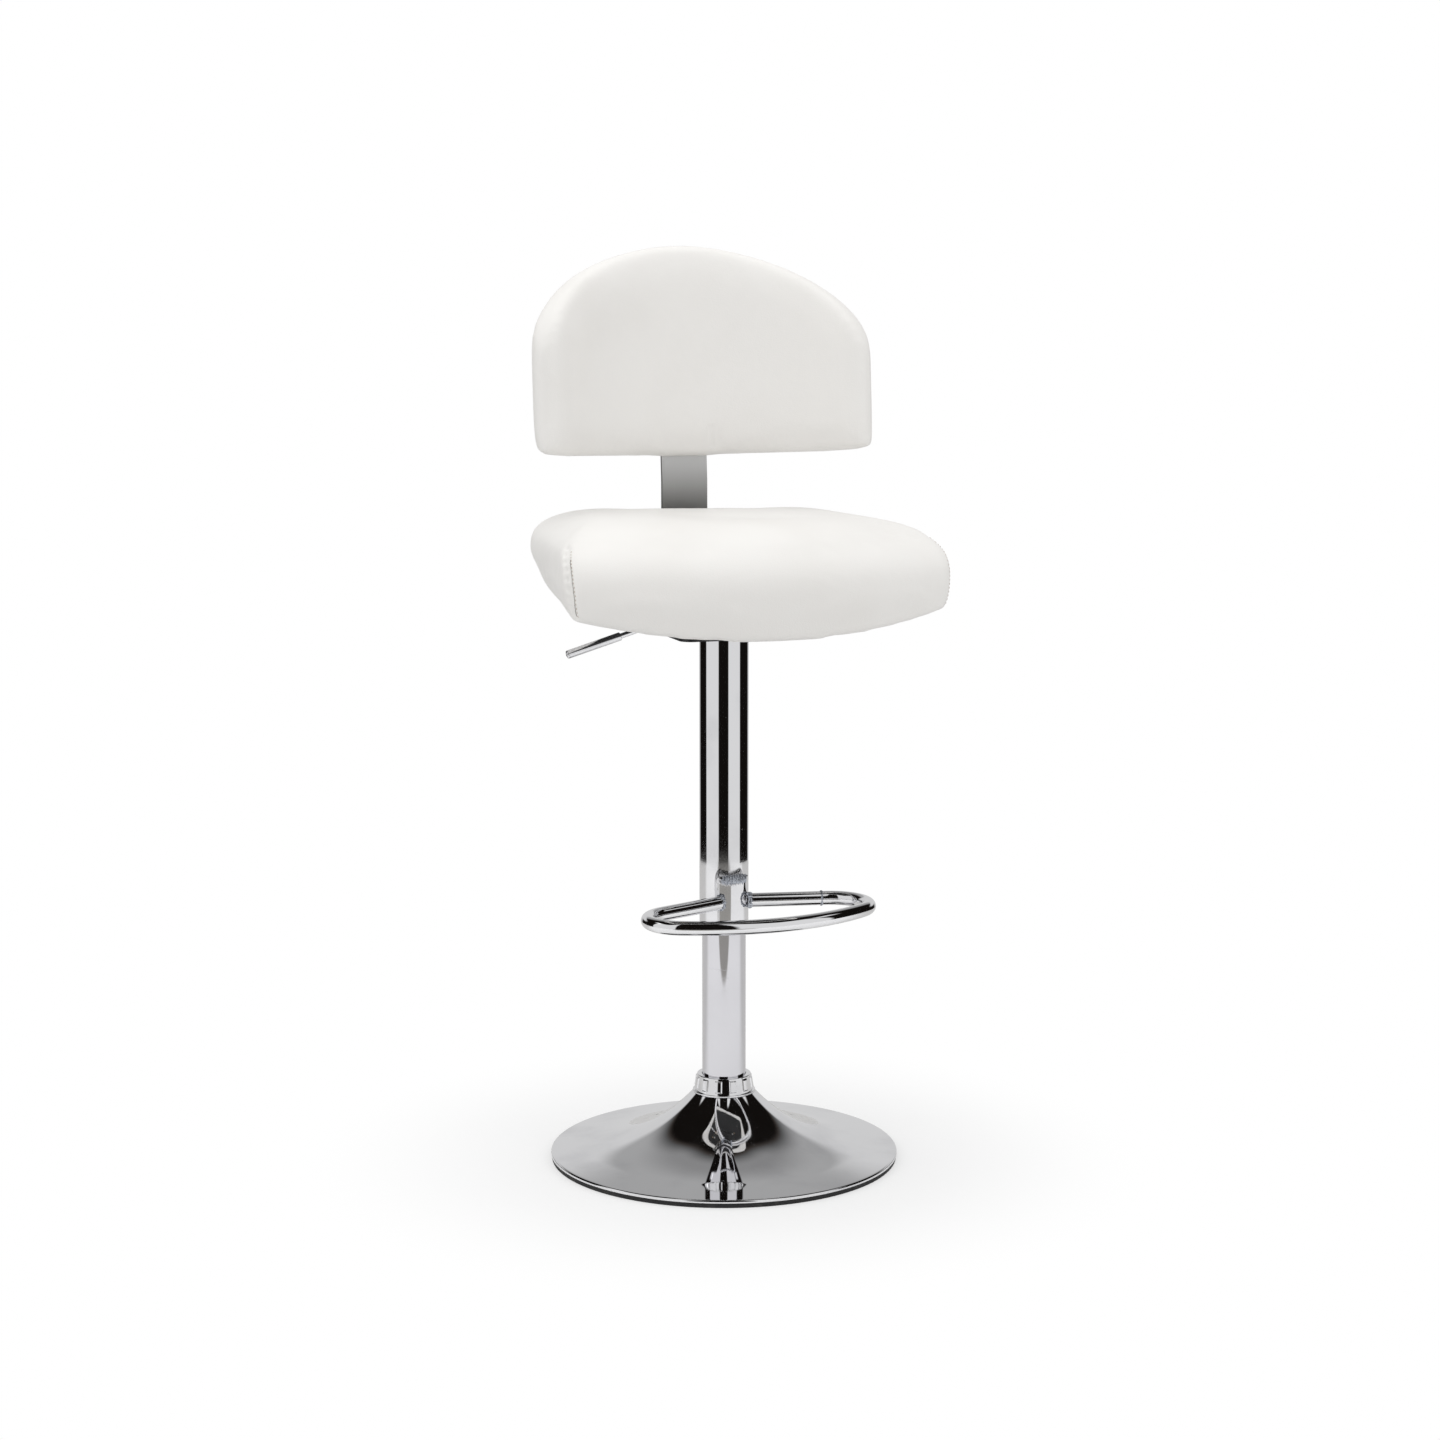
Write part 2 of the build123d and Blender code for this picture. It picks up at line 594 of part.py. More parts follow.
# Seat plate: flat flange round a hat, with a slot through which the lever passes
with BuildPart() as seat_plate:
    with BuildSketch(Plane.XY.offset(plate_top - PLATE_SHEET)):
        RectangleRounded(FLANGE_LENGTH, FLANGE_WIDTH, FLANGE_CORNER)
        with GridLocations(PLATE_BOLTS_X, PLATE_BOLTS_Y, 2, 2):
            Circle(BOLT_RADIUS + BOLT_PLAY, mode=Mode.SUBTRACT)
    extrude(amount=PLATE_SHEET)
    with BuildSketch(Plane.XY.offset(hat_bottom)):
        RectangleRounded(HAT_LENGTH, HAT_WIDTH, HAT_CORNER)
    extrude(amount=HAT_DEPTH)
    with BuildSketch(Plane.XY.offset(hat_bottom + PLATE_SHEET)):
        hat_inside = HAT_CORNER - PLATE_SHEET
        RectangleRounded(HAT_LENGTH - 2 * PLATE_SHEET, HAT_WIDTH - 2 * PLATE_SHEET, hat_inside)
    extrude(amount=HAT_DEPTH, mode=Mode.SUBTRACT)
    with BuildSketch(Plane.XY.offset(hat_bottom)):
        Circle(HUB_RADIUS)
    extrude(amount=PLATE_SHEET, mode=Mode.SUBTRACT)
    with BuildSketch(Plane.XY.offset(hat_bottom + PLATE_SHEET + LOOSE)):
        with Locations((-FLANGE_LENGTH / 2, 0)):
            Rectangle(2 * LEVER_SLOT_LENGTH, LEVER_SLOT_WIDTH)
    extrude(amount=HAT_DEPTH, mode=Mode.SUBTRACT)

with BuildPart() as seat_hub:
    with BuildSketch(Plane.XZ):
        hub_top_bore = TUBE_RADIUS - HUB_LENGTH * math.tan(math.radians(TUBE_TAPER))
        with BuildLine():
            Polyline(
                (TUBE_RADIUS, hub_bottom),
                (HUB_RADIUS, hub_bottom),
                (HUB_RADIUS, hub_top),
                (hub_top_bore, hub_top),
                close=True,
            )
        make_face()
    revolve(axis=Axis.Z)

# Lever bracket: channel on the floor of the hat, with the pivot pin through its ears
ear_inside = BOSS_LENGTH / 2 + LEVER_GAP
ear_outside = ear_inside + EAR_THICKNESS
hat_floor = hat_bottom + PLATE_SHEET
ear_top = lever_height + EAR_TOP
with BuildPart() as lever_bracket:
    with BuildSketch(Plane((-LEVER_PIVOT, 0, hat_floor))):
        Rectangle(EAR_WIDTH, 2 * ear_outside)
    extrude(amount=ear_top - hat_floor)
    with BuildSketch(Plane((-LEVER_PIVOT, 0, hat_floor + EAR_THICKNESS))):
        Rectangle(EAR_WIDTH, 2 * ear_inside)
    extrude(amount=ear_top, mode=Mode.SUBTRACT)
    with BuildSketch(Plane.XZ.offset(-ear_outside)):
        with Locations((-LEVER_PIVOT, lever_height)):
            Circle(PIVOT_RADIUS)
    extrude(amount=2 * ear_outside, mode=Mode.SUBTRACT)

pin_half = ear_outside + PIVOT_STAND
with BuildPart() as lever_pin:
    with BuildSketch(Plane.XZ.offset(-pin_half)):
        with Locations((-LEVER_PIVOT, lever_height)):
            Circle(PIVOT_RADIUS)
    extrude(amount=2 * pin_half)

# Lever: level inside the hat, bent down outside it, with a boss on the pivot
droop = math.radians(LEVER_DROOP)
tip_way = Vector(-math.cos(droop), 0, -math.sin(droop))
bend_point = Vector(-LEVER_BEND, 0, lever_height)
tip = bend_point + tip_way * LEVER_RUN
rod_tip = tip - tip_way * GRIP_END
with BuildPart() as lever_rod:
    with BuildLine() as lever_path:
        FilletPolyline((LEVER_INNER, 0, lever_height), bend_point, rod_tip, radius=LEVER_BEND_RADIUS)
    with BuildSketch(Plane(lever_path.line @ 0, z_dir=lever_path.line % 0)):
        Circle(LEVER_RADIUS)
    sweep()
    with BuildSketch(Plane.XZ.offset(-BOSS_LENGTH / 2)):
        with Locations((-LEVER_PIVOT, lever_height)):
            Circle(BOSS_RADIUS)
    extrude(amount=BOSS_LENGTH)
    with BuildSketch(Plane.XZ.offset(-BOSS_LENGTH / 2)):
        with Locations((-LEVER_PIVOT, lever_height)):
            Circle(PIVOT_RADIUS + RUNNING)
    extrude(amount=BOSS_LENGTH, mode=Mode.SUBTRACT)

grip_start = tip - tip_way * GRIP_LENGTH
with BuildPart() as lever_grip:
    with BuildSketch(Plane(grip_start, z_dir=tip_way)):
        Circle(GRIP_RADIUS)
    extrude(amount=GRIP_LENGTH)
    fillet(lever_grip.edges().sort_by(Axis.X)[0], GRIP_ROUND)
    with BuildSketch(Plane(grip_start, z_dir=tip_way)):
        Circle(LEVER_RADIUS)
    extrude(amount=GRIP_LENGTH - GRIP_END, mode=Mode.SUBTRACT)

# Back bar: along under the board, up behind the cushion and into the pad at the pad's lean
lean = math.radians(BACK_LEAN)
bar_foot = FLANGE_WIDTH / 2 + BAR_PLATE_GAP
bar_height = plate_top - BAR_THICKNESS / 2
pad_up = Vector(0, math.sin(lean), math.cos(lean))
pad_ahead = Vector(0, -math.cos(lean), math.sin(lean))
pad_foot = Vector(0, BACK_SETBACK, BACK_BOTTOM)
bar_line = pad_foot - pad_ahead * (BACK_BOARD_BEHIND + BAR_THICKNESS / 2)
bar_knee = bar_line - pad_up * BAR_KNEE
bar_end = bar_line + pad_up * BAR_TOP
bar_corner = Vector(0, bar_knee.Y, bar_height)
with BuildPart() as back_bar:
    with BuildLine() as bar_path:
        FilletPolyline(
            (0, bar_foot, bar_height),
            bar_corner,
            bar_knee,
            bar_end,
            radius=[BAR_BEND_RADIUS, BAR_KNEE_RADIUS],
        )
    with BuildSketch(Plane(bar_path.line @ 0, x_dir=(1, 0, 0), z_dir=bar_path.line % 0)):
        Rectangle(BAR_WIDTH, BAR_THICKNESS)
    sweep()
    bar_bolt_y = bar_foot + BAR_BOLT_EDGE + BAR_BOLTS_Y / 2
    with BuildSketch(Plane((0, bar_bolt_y, bar_height - BAR_THICKNESS))):
        with GridLocations(BAR_BOLTS_X, BAR_BOLTS_Y, 2, 2):
            Circle(BOLT_RADIUS + BOLT_PLAY)
    extrude(amount=2 * BAR_THICKNESS, mode=Mode.SUBTRACT)
    back_bolt_middle = bar_end - pad_up * (BACK_BOLT_EDGE + BACK_BOLTS_Z / 2)
    back_bolt_plane = Plane(back_bolt_middle - pad_ahead * BAR_THICKNESS, x_dir=(1, 0, 0), z_dir=pad_ahead)
    with BuildSketch(back_bolt_plane):
        with GridLocations(BAR_BOLTS_X, BACK_BOLTS_Z, 2, 2):
            Circle(BOLT_RADIUS + BOLT_PLAY)
    extrude(amount=2 * BAR_THICKNESS, mode=Mode.SUBTRACT)

# Seat: outline at any inset, wider at the front than at the back
seat_rear = bar_knee.Y - BAR_THICKNESS / 2 - SEAT_BAR_GAP


def seat_outline(height, insets, corner_front, corner_rear):
    """Seat seen from above, set in at front, rear and both ends of its sides, with rounded corners."""
    front, rear, side_front, side_rear = insets
    half_front = SEAT_HALF_FRONT - side_front
    half_rear = SEAT_HALF_REAR - side_rear
    front_middle_y = front - SEAT_FRONT
    front_corner_y = front_middle_y + SEAT_FRONT_BOW
    rear_y = seat_rear - rear
    with BuildSketch(Plane.XY.offset(height)) as outline:
        with BuildLine():
            ThreePointArc((-half_front, front_corner_y), (0, front_middle_y), (half_front, front_corner_y))
            Polyline(
                (half_front, front_corner_y),
                (half_rear, rear_y),
                (-half_rear, rear_y),
                (-half_front, front_corner_y),
            )
        make_face()
        fillet(outline.vertices().group_by(Axis.Y)[0], corner_front)
        fillet(outline.vertices().group_by(Axis.Y)[-1], corner_rear)
    return outline.sketch


def bowed_board(top, bottom):
    """Cross section of a board bent to the seat's bow, between two heights above the lip."""
    bow_centre = (0, lip + BOARD_BOW_RADIUS)
    half_angle = math.degrees(math.asin(SEAT_HALF_FRONT / BOARD_BOW_RADIUS))
    with BuildSketch(Plane.XZ) as section:
        with BuildLine():
            upper = CenterArc(bow_centre, BOARD_BOW_RADIUS - top, -90 - half_angle, 2 * half_angle)
            lower = CenterArc(bow_centre, BOARD_BOW_RADIUS - bottom, -90 - half_angle, 2 * half_angle)
            Line(upper @ 0, lower @ 0)
            Line(upper @ 1, lower @ 1)
        make_face()
    return section.sketch


def board_top(across):
    """Height of the board's upper face at a distance from the middle."""
    return lip + BOARD_BOW_RADIUS - math.sqrt((BOARD_BOW_RADIUS - BOARD_THICKNESS) ** 2 - across**2)


draw_ins = (DRAW_IN_FRONT, DRAW_IN_REAR, DRAW_IN_SIDE_FRONT, DRAW_IN_SIDE_REAR)


def foot_outline(inset):
    """Seat's outline where it is drawn in most, set in further all round."""
    insets = [inset + draw_in for draw_in in draw_ins]
    corner_front = SEAT_FOOT_CORNER_FRONT - SEAT_CORNER_EASE * inset
    corner_rear = SEAT_FOOT_CORNER_REAR - SEAT_CORNER_EASE * inset
    return seat_outline(lip - SEAT_DEPTH, insets, corner_front, corner_rear)


with BuildPart() as board_blank:
    extrude(foot_outline(BOARD_INSET), amount=2 * SEAT_DEPTH)
    extrude(bowed_board(BOARD_THICKNESS, 0), amount=SEAT_FRONT, both=True, mode=Mode.INTERSECT)

# Seat board: bent plywood, let in for plate and bar, bored for the nuts
plate_nut_top = board_top(PLATE_BOLTS_X / 2 - TEE_FLANGE_RADIUS)
bar_nut_top = board_top(max(BAR_BOLTS_X / 2 - TEE_FLANGE_RADIUS, 0))
nut_groups = (
    (0, PLATE_BOLTS_X, PLATE_BOLTS_Y, plate_nut_top),
    (bar_bolt_y, BAR_BOLTS_X, BAR_BOLTS_Y, bar_nut_top),
)
with BuildPart() as seat_pan:
    add(board_blank.part)
    with BuildSketch(Plane.XY.offset(lip)):
        RectangleRounded(FLANGE_LENGTH + 2 * LOOSE, FLANGE_WIDTH + 2 * LOOSE, FLANGE_CORNER)
        with Locations((0, bar_foot + SEAT_FRONT / 2)):
            Rectangle(BAR_WIDTH + 2 * LOOSE, SEAT_FRONT)
    extrude(amount=ROUTED_DEPTH, mode=Mode.SUBTRACT)
    for middle, across, length, nut_top in nut_groups:
        with BuildSketch(Plane((0, middle, lip))):
            with GridLocations(across, length, 2, 2):
                Circle(TEE_RADIUS)
        extrude(amount=SEAT_DEPTH, mode=Mode.SUBTRACT)
        with BuildSketch(Plane((0, middle, nut_top - TEE_FLANGE))):
            with GridLocations(across, length, 2, 2):
                Circle(TEE_FLANGE_RADIUS)
        extrude(amount=SEAT_DEPTH, mode=Mode.SUBTRACT)

with BuildPart() as tee_nuts:
    for middle, across, length, nut_top in nut_groups:
        with BuildSketch(Plane((0, middle, nut_top - TEE_FLANGE))):
            with GridLocations(across, length, 2, 2):
                Circle(TEE_FLANGE_RADIUS)
        extrude(amount=TEE_FLANGE)
        with BuildSketch(Plane((0, middle, nut_top - TEE_FLANGE))):
            with GridLocations(across, length, 2, 2):
                Circle(TEE_RADIUS)
        extrude(amount=-TEE_LENGTH)
        with BuildSketch(Plane((0, middle, nut_top))):
            with GridLocations(across, length, 2, 2):
                Circle(BOLT_RADIUS)
        extrude(amount=-TEE_FLANGE - TEE_LENGTH, mode=Mode.SUBTRACT)


def bolt_set(plane, across, along, reach):
    """Four flanged hexagon bolts whose flanges seat on a plane and whose shanks reach past it."""
    with BuildSketch(plane) as shanks:
        with GridLocations(across, along, 2, 2):
            Circle(BOLT_RADIUS)
    extrude(shanks.sketch, amount=reach)
    with BuildSketch(plane) as flanges:
        with GridLocations(across, along, 2, 2):
            Circle(BOLT_FLANGE_RADIUS)
    extrude(flanges.sketch, amount=-BOLT_FLANGE_HEIGHT)
    with BuildSketch(plane.offset(-BOLT_FLANGE_HEIGHT)) as heads:
        with GridLocations(across, along, 2, 2):
            RegularPolygon(BOLT_HEAD_RADIUS, 6)
    extrude(heads.sketch, amount=-BOLT_HEAD_HEIGHT)


plate_seat = plate_top - PLATE_SHEET
plate_bolt_reach = plate_nut_top - TEE_FLANGE - plate_seat
with BuildPart() as seat_bolts:
    bolt_set(Plane((0, 0, plate_seat)), PLATE_BOLTS_X, PLATE_BOLTS_Y, plate_bolt_reach)

bar_seat = bar_height - BAR_THICKNESS / 2
bar_bolt_reach = bar_nut_top - TEE_FLANGE - bar_seat
with BuildPart() as bar_bolts:
    bolt_set(Plane((0, bar_bolt_y, bar_seat)), BAR_BOLTS_X, BAR_BOLTS_Y, bar_bolt_reach)

# Dust cover: black cloth under the board, cut away round plate and bar
with BuildPart() as dust_cover:
    extrude(foot_outline(DUST_INSET), amount=2 * SEAT_DEPTH)
    extrude(bowed_board(0, -DUST_THICKNESS), amount=SEAT_FRONT, both=True, mode=Mode.INTERSECT)
    with BuildSketch(Plane.XY.offset(lip - SEAT_DEPTH)):
        RectangleRounded(FLANGE_LENGTH + 2 * LOOSE, FLANGE_WIDTH + 2 * LOOSE, FLANGE_CORNER)
        with Locations((0, bar_foot + SEAT_FRONT / 2)):
            Rectangle(BAR_WIDTH + 2 * LOOSE, SEAT_FRONT)
    extrude(amount=2 * SEAT_DEPTH, mode=Mode.SUBTRACT)

# Seat cushion: drawn in below, widest part of the way up, rolled over to a low crown, open below the board
roll_ins = (ROLL_IN_FRONT, ROLL_IN_REAR, ROLL_IN_SIDE_FRONT, ROLL_IN_SIDE_REAR)
seat_foot = lip - SEAT_WRAP
seat_widest = SEAT_TOP - SEAT_WIDEST
widest_levels = (SEAT_TOP - SEAT_WIDEST_FRONT, seat_widest, SEAT_TOP - SEAT_WIDEST_SIDE_FRONT, seat_widest)
roll_curves = (SEAT_ROLL_CURVE_FRONT, SEAT_ROLL_CURVE, SEAT_ROLL_CURVE, SEAT_ROLL_CURVE)


def seat_insets(height):
    """Insets of the seat's sides at a height, each drawn in below its widest level and rolled in above."""
    insets = []
    for widest, draw_in, roll_in, curve in zip(widest_levels, draw_ins, roll_ins, roll_curves):
        below = max(widest - height, 0) / (widest - seat_foot)
        above = min(max(height - widest, 0) / (SEAT_TOP - widest), 1) ** (1 / curve)
        insets.append(draw_in * below**DRAW_IN_CURVE + roll_in * (1 - math.sqrt(1 - above**2)))
    return insets


seat_levels = []
for step in range(SEAT_SIDE_STEPS):
    below = 1 - step / SEAT_SIDE_STEPS
    drawn = below**DRAW_IN_CURVE
    corner_front = SEAT_CORNER_FRONT + drawn * (SEAT_FOOT_CORNER_FRONT - SEAT_CORNER_FRONT)
    corner_rear = SEAT_CORNER_REAR + drawn * (SEAT_FOOT_CORNER_REAR - SEAT_CORNER_REAR)
    height = seat_widest - below * (seat_widest - seat_foot)
    seat_levels.append(seat_outline(height, seat_insets(height), corner_front, corner_rear))
for step in range(SEAT_ROLL_STEPS + 1):
    angle = math.pi / 2 * step / SEAT_ROLL_STEPS
    height = seat_widest + SEAT_WIDEST * math.sin(angle) ** SEAT_ROLL_CURVE
    insets = seat_insets(height)
    corner_front = SEAT_CORNER_FRONT - SEAT_CORNER_EASE * insets[2]
    corner_rear = SEAT_CORNER_REAR - SEAT_CORNER_EASE * insets[3]
    seat_levels.append(seat_outline(height, insets, corner_front, corner_rear))
with BuildPart() as below_board:
    extrude(foot_outline(BOARD_INSET), amount=2 * SEAT_DEPTH)
    extrude(bowed_board(BOARD_THICKNESS, -SEAT_DEPTH), amount=SEAT_FRONT, both=True, mode=Mode.INTERSECT)
with BuildPart() as seat_cushion:
    loft(seat_levels)
    extrude(bowed_board(-SEAT_WRAP, -SEAT_DEPTH), amount=SEAT_FRONT, both=True, mode=Mode.SUBTRACT)
    add(below_board.part, mode=Mode.SUBTRACT)
    with BuildSketch(Plane.XY.offset(lip + BAR_NOTCH)):
        with Locations((0, bar_foot + SEAT_FRONT / 2)):
            Rectangle(BAR_WIDTH + 2 * LOOSE, SEAT_FRONT)
    extrude(amount=-SEAT_DEPTH, mode=Mode.SUBTRACT)

# Back board: bent plywood inside the pad
pad_plane = Plane(pad_foot, x_dir=(1, 0, 0), z_dir=pad_up)
board_rear_radius = BACK_BEND_RADIUS + BACK_BOARD_BEHIND
board_front_radius = board_rear_radius - BACK_BOARD_THICKNESS
with BuildPart() as back_board:
    with BuildSketch(pad_plane.offset(BACK_BOARD_BOTTOM)):
        board_centre = (0, -BACK_BEND_RADIUS)
        board_edge = 90 - BACK_BOARD_ANGLE
        with BuildLine():
            behind = CenterArc(board_centre, board_rear_radius, board_edge, 2 * BACK_BOARD_ANGLE)
            ahead = CenterArc(board_centre, board_front_radius, board_edge, 2 * BACK_BOARD_ANGLE)
            Line(behind @ 0, ahead @ 0)
            Line(behind @ 1, ahead @ 1)
        make_face()
    extrude(amount=BACK_BOARD_HEIGHT)
    bolt_holes = Plane(back_bolt_middle, x_dir=(1, 0, 0), z_dir=pad_ahead)
    with BuildSketch(bolt_holes):
        with GridLocations(BAR_BOLTS_X, BACK_BOLTS_Z, 2, 2):
            Circle(BOLT_RADIUS)
    extrude(amount=2 * BACK_BOARD_THICKNESS, mode=Mode.SUBTRACT)

with BuildPart() as back_bolts:
    bar_back = Plane(back_bolt_middle - pad_ahead * BAR_THICKNESS / 2, x_dir=(1, 0, 0), z_dir=pad_ahead)
    bolt_set(bar_back, BAR_BOLTS_X, BACK_BOLTS_Z, BAR_THICKNESS + BACK_BOARD_THICKNESS)


# Back pad: upright sections round the bend, lower and thinner towards the tips
def pad_section(share):
    """Section of the pad at a share of the half arc: rounded, as tall as the arch is there."""
    arch = (1 - min(abs(share), 1) ** BACK_ARCH) ** (1 / BACK_ARCH)
    thinning = math.sqrt(1 - TIP_THINNING * abs(share) ** TIP_THINNING_CURVE)
    top = BACK_SIDE_HEIGHT + (BACK_HEIGHT - BACK_SIDE_HEIGHT) * arch
    foot = BACK_TIP_RISE * abs(share) ** TIP_RISE_CURVE
    thickness = BACK_THICKNESS * thinning
    angle = share * BACK_HALF_ARC / BACK_BEND_RADIUS
    inwards = Vector(-math.sin(angle), 0, 0) + pad_ahead * math.cos(angle)
    middle = pad_foot + pad_ahead * BACK_BEND_RADIUS - inwards * BACK_BEND_RADIUS
    round_the_bend = inwards.cross(pad_up)
    with BuildSketch(Plane(middle, x_dir=inwards, z_dir=round_the_bend)) as section:
        with Locations((0, (top + foot) / 2)):
            RectangleRounded(thickness, top - foot, PAD_EDGE_ROUND * thickness)
    return section.sketch


pad_shares = [math.sin(math.pi / 2 * step / PAD_STEPS) for step in range(-PAD_STEPS, PAD_STEPS + 1)]
with BuildPart() as back_cushion:
    loft([pad_section(share) for share in pad_shares])
    add(back_board.part, mode=Mode.SUBTRACT)
    add(back_bar.part, mode=Mode.SUBTRACT)
    add(back_bolts.part, mode=Mode.SUBTRACT)

pieces = {
    "floor_ring": floor_ring,
    "base_shell": base_shell,
    "base_ballast": base_ballast,
    "column_socket": column_socket,
    "neck_collar": neck_collar,
    "column_tube": column_tube,
    "guide_bush": guide_bush,
    "bearing_lower_race": bearing_lower_race,
    "bearing_balls": bearing_balls,
    "bearing_cage": bearing_cage,
    "bearing_upper_race": bearing_upper_race,
    "bump_stop": bump_stop,
    "piston_rod": piston_rod,
    "rod_clip": rod_clip,
    "piston_head": piston_head,
    "pressure_tube": pressure_tube,
    "rod_seal": rod_seal,
    "valve_body": valve_body,
    "valve_pin": valve_pin,
    "cover_tube": cover_tube,
    "cover_cap": cover_cap,
    "cover_bush": cover_bush,
    "footrest_saddle": footrest_saddle,
    "footrest_ring": footrest_ring,
    "seat_plate": seat_plate,
    "seat_hub": seat_hub,
    "lever_bracket": lever_bracket,
    "lever_pin": lever_pin,
    "lever_rod": lever_rod,
    "lever_grip": lever_grip,
    "seat_pan": seat_pan,
    "tee_nuts": tee_nuts,
    "seat_bolts": seat_bolts,
    "seat_cushion": seat_cushion,
    "dust_cover": dust_cover,
    "back_bar": back_bar,
    "bar_bolts": bar_bolts,
    "back_board": back_board,
    "back_bolts": back_bolts,
    "back_cushion": back_cushion,
}
os.makedirs("parts", exist_ok=True)
for name, piece in pieces.items():
    piece.part.label = name
    export_step(piece.part, f"parts/{name}.step")
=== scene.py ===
"""Bar stool on a gas lift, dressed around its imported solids.

Metres, in the solids' own frame: the floor is z = 0, +Z is up along the column and the seat faces -Y.
"""

import math

import bmesh
import bpy
import numpy as np
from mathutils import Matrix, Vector
from mathutils.bvhtree import BVHTree


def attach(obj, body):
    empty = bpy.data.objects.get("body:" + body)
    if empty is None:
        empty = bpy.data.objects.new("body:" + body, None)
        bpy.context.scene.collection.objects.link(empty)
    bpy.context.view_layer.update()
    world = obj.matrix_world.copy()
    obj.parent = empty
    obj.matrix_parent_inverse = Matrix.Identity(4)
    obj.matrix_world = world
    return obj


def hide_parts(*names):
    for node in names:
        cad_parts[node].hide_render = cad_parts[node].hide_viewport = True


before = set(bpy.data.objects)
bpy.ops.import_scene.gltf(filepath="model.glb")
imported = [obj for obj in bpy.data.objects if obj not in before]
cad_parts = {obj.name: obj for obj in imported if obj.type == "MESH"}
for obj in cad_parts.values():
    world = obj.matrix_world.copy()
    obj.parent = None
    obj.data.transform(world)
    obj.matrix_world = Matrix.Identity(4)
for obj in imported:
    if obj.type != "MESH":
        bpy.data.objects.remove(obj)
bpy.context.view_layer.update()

# Floor ring: black rubber extrusion pressed over the lower edge of the base, so that the chrome never
# meets the floor. Its moulded skin is dull, with dust caught in fine pores.
RUBBER_BLACK = (0.012, 0.012, 0.013)
RUBBER_DUST = (0.045, 0.043, 0.041)


class Field:
    """A number, colour or vector over a surface: wraps a socket, and arithmetic on it adds Math nodes."""

    def __init__(self, tree, socket):
        self.tree = tree
        self.socket = socket

    def fill(self, node, sockets):
        """Sets each named or numbered socket of a node to a value, or links it to a field."""
        for key, value in sockets.items():
            if isinstance(value, Field):
                self.tree.links.new(value.socket, node.inputs[key])
            else:
                node.inputs[key].default_value = value

    def node(self, kind, settings, sockets, out=0):
        """Any other node: its type, its settings, which are set first, and its sockets."""
        node = self.tree.nodes.new(kind)
        for key, value in settings.items():
            setattr(node, key, value)
        self.fill(node, sockets)
        return Field(self.tree, node.outputs[out])

    def math(self, operation, *values):
        return self.node("ShaderNodeMath", {"operation": operation}, dict(enumerate(values)))

    def __add__(self, other):
        return self.math("ADD", self, other)

    def __sub__(self, other):
        return self.math("SUBTRACT", self, other)

    def __rsub__(self, other):
        return self.math("SUBTRACT", other, self)

    def __mul__(self, other):
        return self.math("MULTIPLY", self, other)

    __radd__, __rmul__ = __add__, __mul__


def new_finish(name):
    """A material with a plain shader, and the Object coordinates that its patterns start from."""
    material = bpy.data.materials.new(name)
    material.use_nodes = True
    tree = material.node_tree
    return material, Field(tree, tree.nodes.new("ShaderNodeTexCoord").outputs["Object"])


def shade(material, place, sockets):
    """Fills the sockets of a material's shader."""
    place.fill(material.node_tree.nodes["Principled BSDF"], sockets)
    return material


def noise(place, scale, detail=2.0):
    """Soft cloudy noise from 0 to 1, with about `scale` blobs to the metre."""
    return place.node("ShaderNodeTexNoise", {}, {"Vector": place, "Scale": scale, "Detail": detail})


def stretched(place, x, y, z):
    """Coordinates multiplied along each axis, so that a pattern is drawn out along the small ones."""
    return place.node("ShaderNodeVectorMath", {"operation": "MULTIPLY"}, {0: place, 1: (x, y, z)})


def ramp(value, low, high):
    """0 below low, 1 above high, and a smooth step between."""
    settings = {"interpolation_type": "SMOOTHSTEP"}
    return value.node("ShaderNodeMapRange", settings, {"Value": value, "From Min": low, "From Max": high})


def fall(value, low, high):
    """1 below low, 0 above high, and a smooth step between."""
    return ramp(0 - value, -high, -low)


def blended(mask, first, second):
    """The first colour where the mask is 0, the second where it is 1."""
    colours = {0: mask, 6: (*first, 1.0), 7: (*second, 1.0)}
    return mask.node("ShaderNodeMix", {"data_type": "RGBA"}, colours, out=2)


def measured(place, operation, *other):
    """A length, a distance or a dot product of vectors, as a number."""
    vectors = dict(enumerate((place, *other)))
    return place.node("ShaderNodeVectorMath", {"operation": operation}, vectors, out=1)


def height_of(place):
    """The Z of a place."""
    return place.node("ShaderNodeSeparateXYZ", {}, {0: place}, out=2)


def bumped(height, distance):
    """Normals of a surface whose relief is the height field times a distance in metres."""
    return height.node("ShaderNodeBump", {}, {"Height": height, "Distance": distance})


def dress(material, *names):
    """Gives solids of the frame a finish through their material slots."""
    for name in names:
        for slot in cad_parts[name].material_slots:
            slot.material = material


rubber, place = new_finish("moulded rubber")
pores = noise(place, 900, 3)
dust = ramp(noise(place, 60, 4), 0.52, 0.75)
shade(rubber, place, {
    "Base Color": blended(dust, RUBBER_BLACK, RUBBER_DUST),
    "Roughness": 0.62 + 0.2 * dust,
    "Normal": bumped(pores, 0.00015),
})
dress(rubber, "floor_ring", "bump_stop")

# Base: a steel blank spun over a former into one wide flare with a shallow edge, then polished and chromed.
# The wheel leaves faint rings round the axis, and cloths leave a thin haze on the wide disc.
BASE_RADIUS = 0.200
RIM_TOP = 0.009
RIM_FOOT = 0.0057
DISC_SLOPE = math.radians(6.3)
TRUMPET_RADIUS = 0.190
NECK = np.array((0.036, 0.077))
NECK_BORE = 0.0255
BASE_SHEET = 0.0015
EDGE_ROUND = 0.0024
SHORT_OF_NECK = 0.02
CHROME_TINT = (0.86, 0.86, 0.875)
CHROME_HAZE = (0.74, 0.74, 0.76)


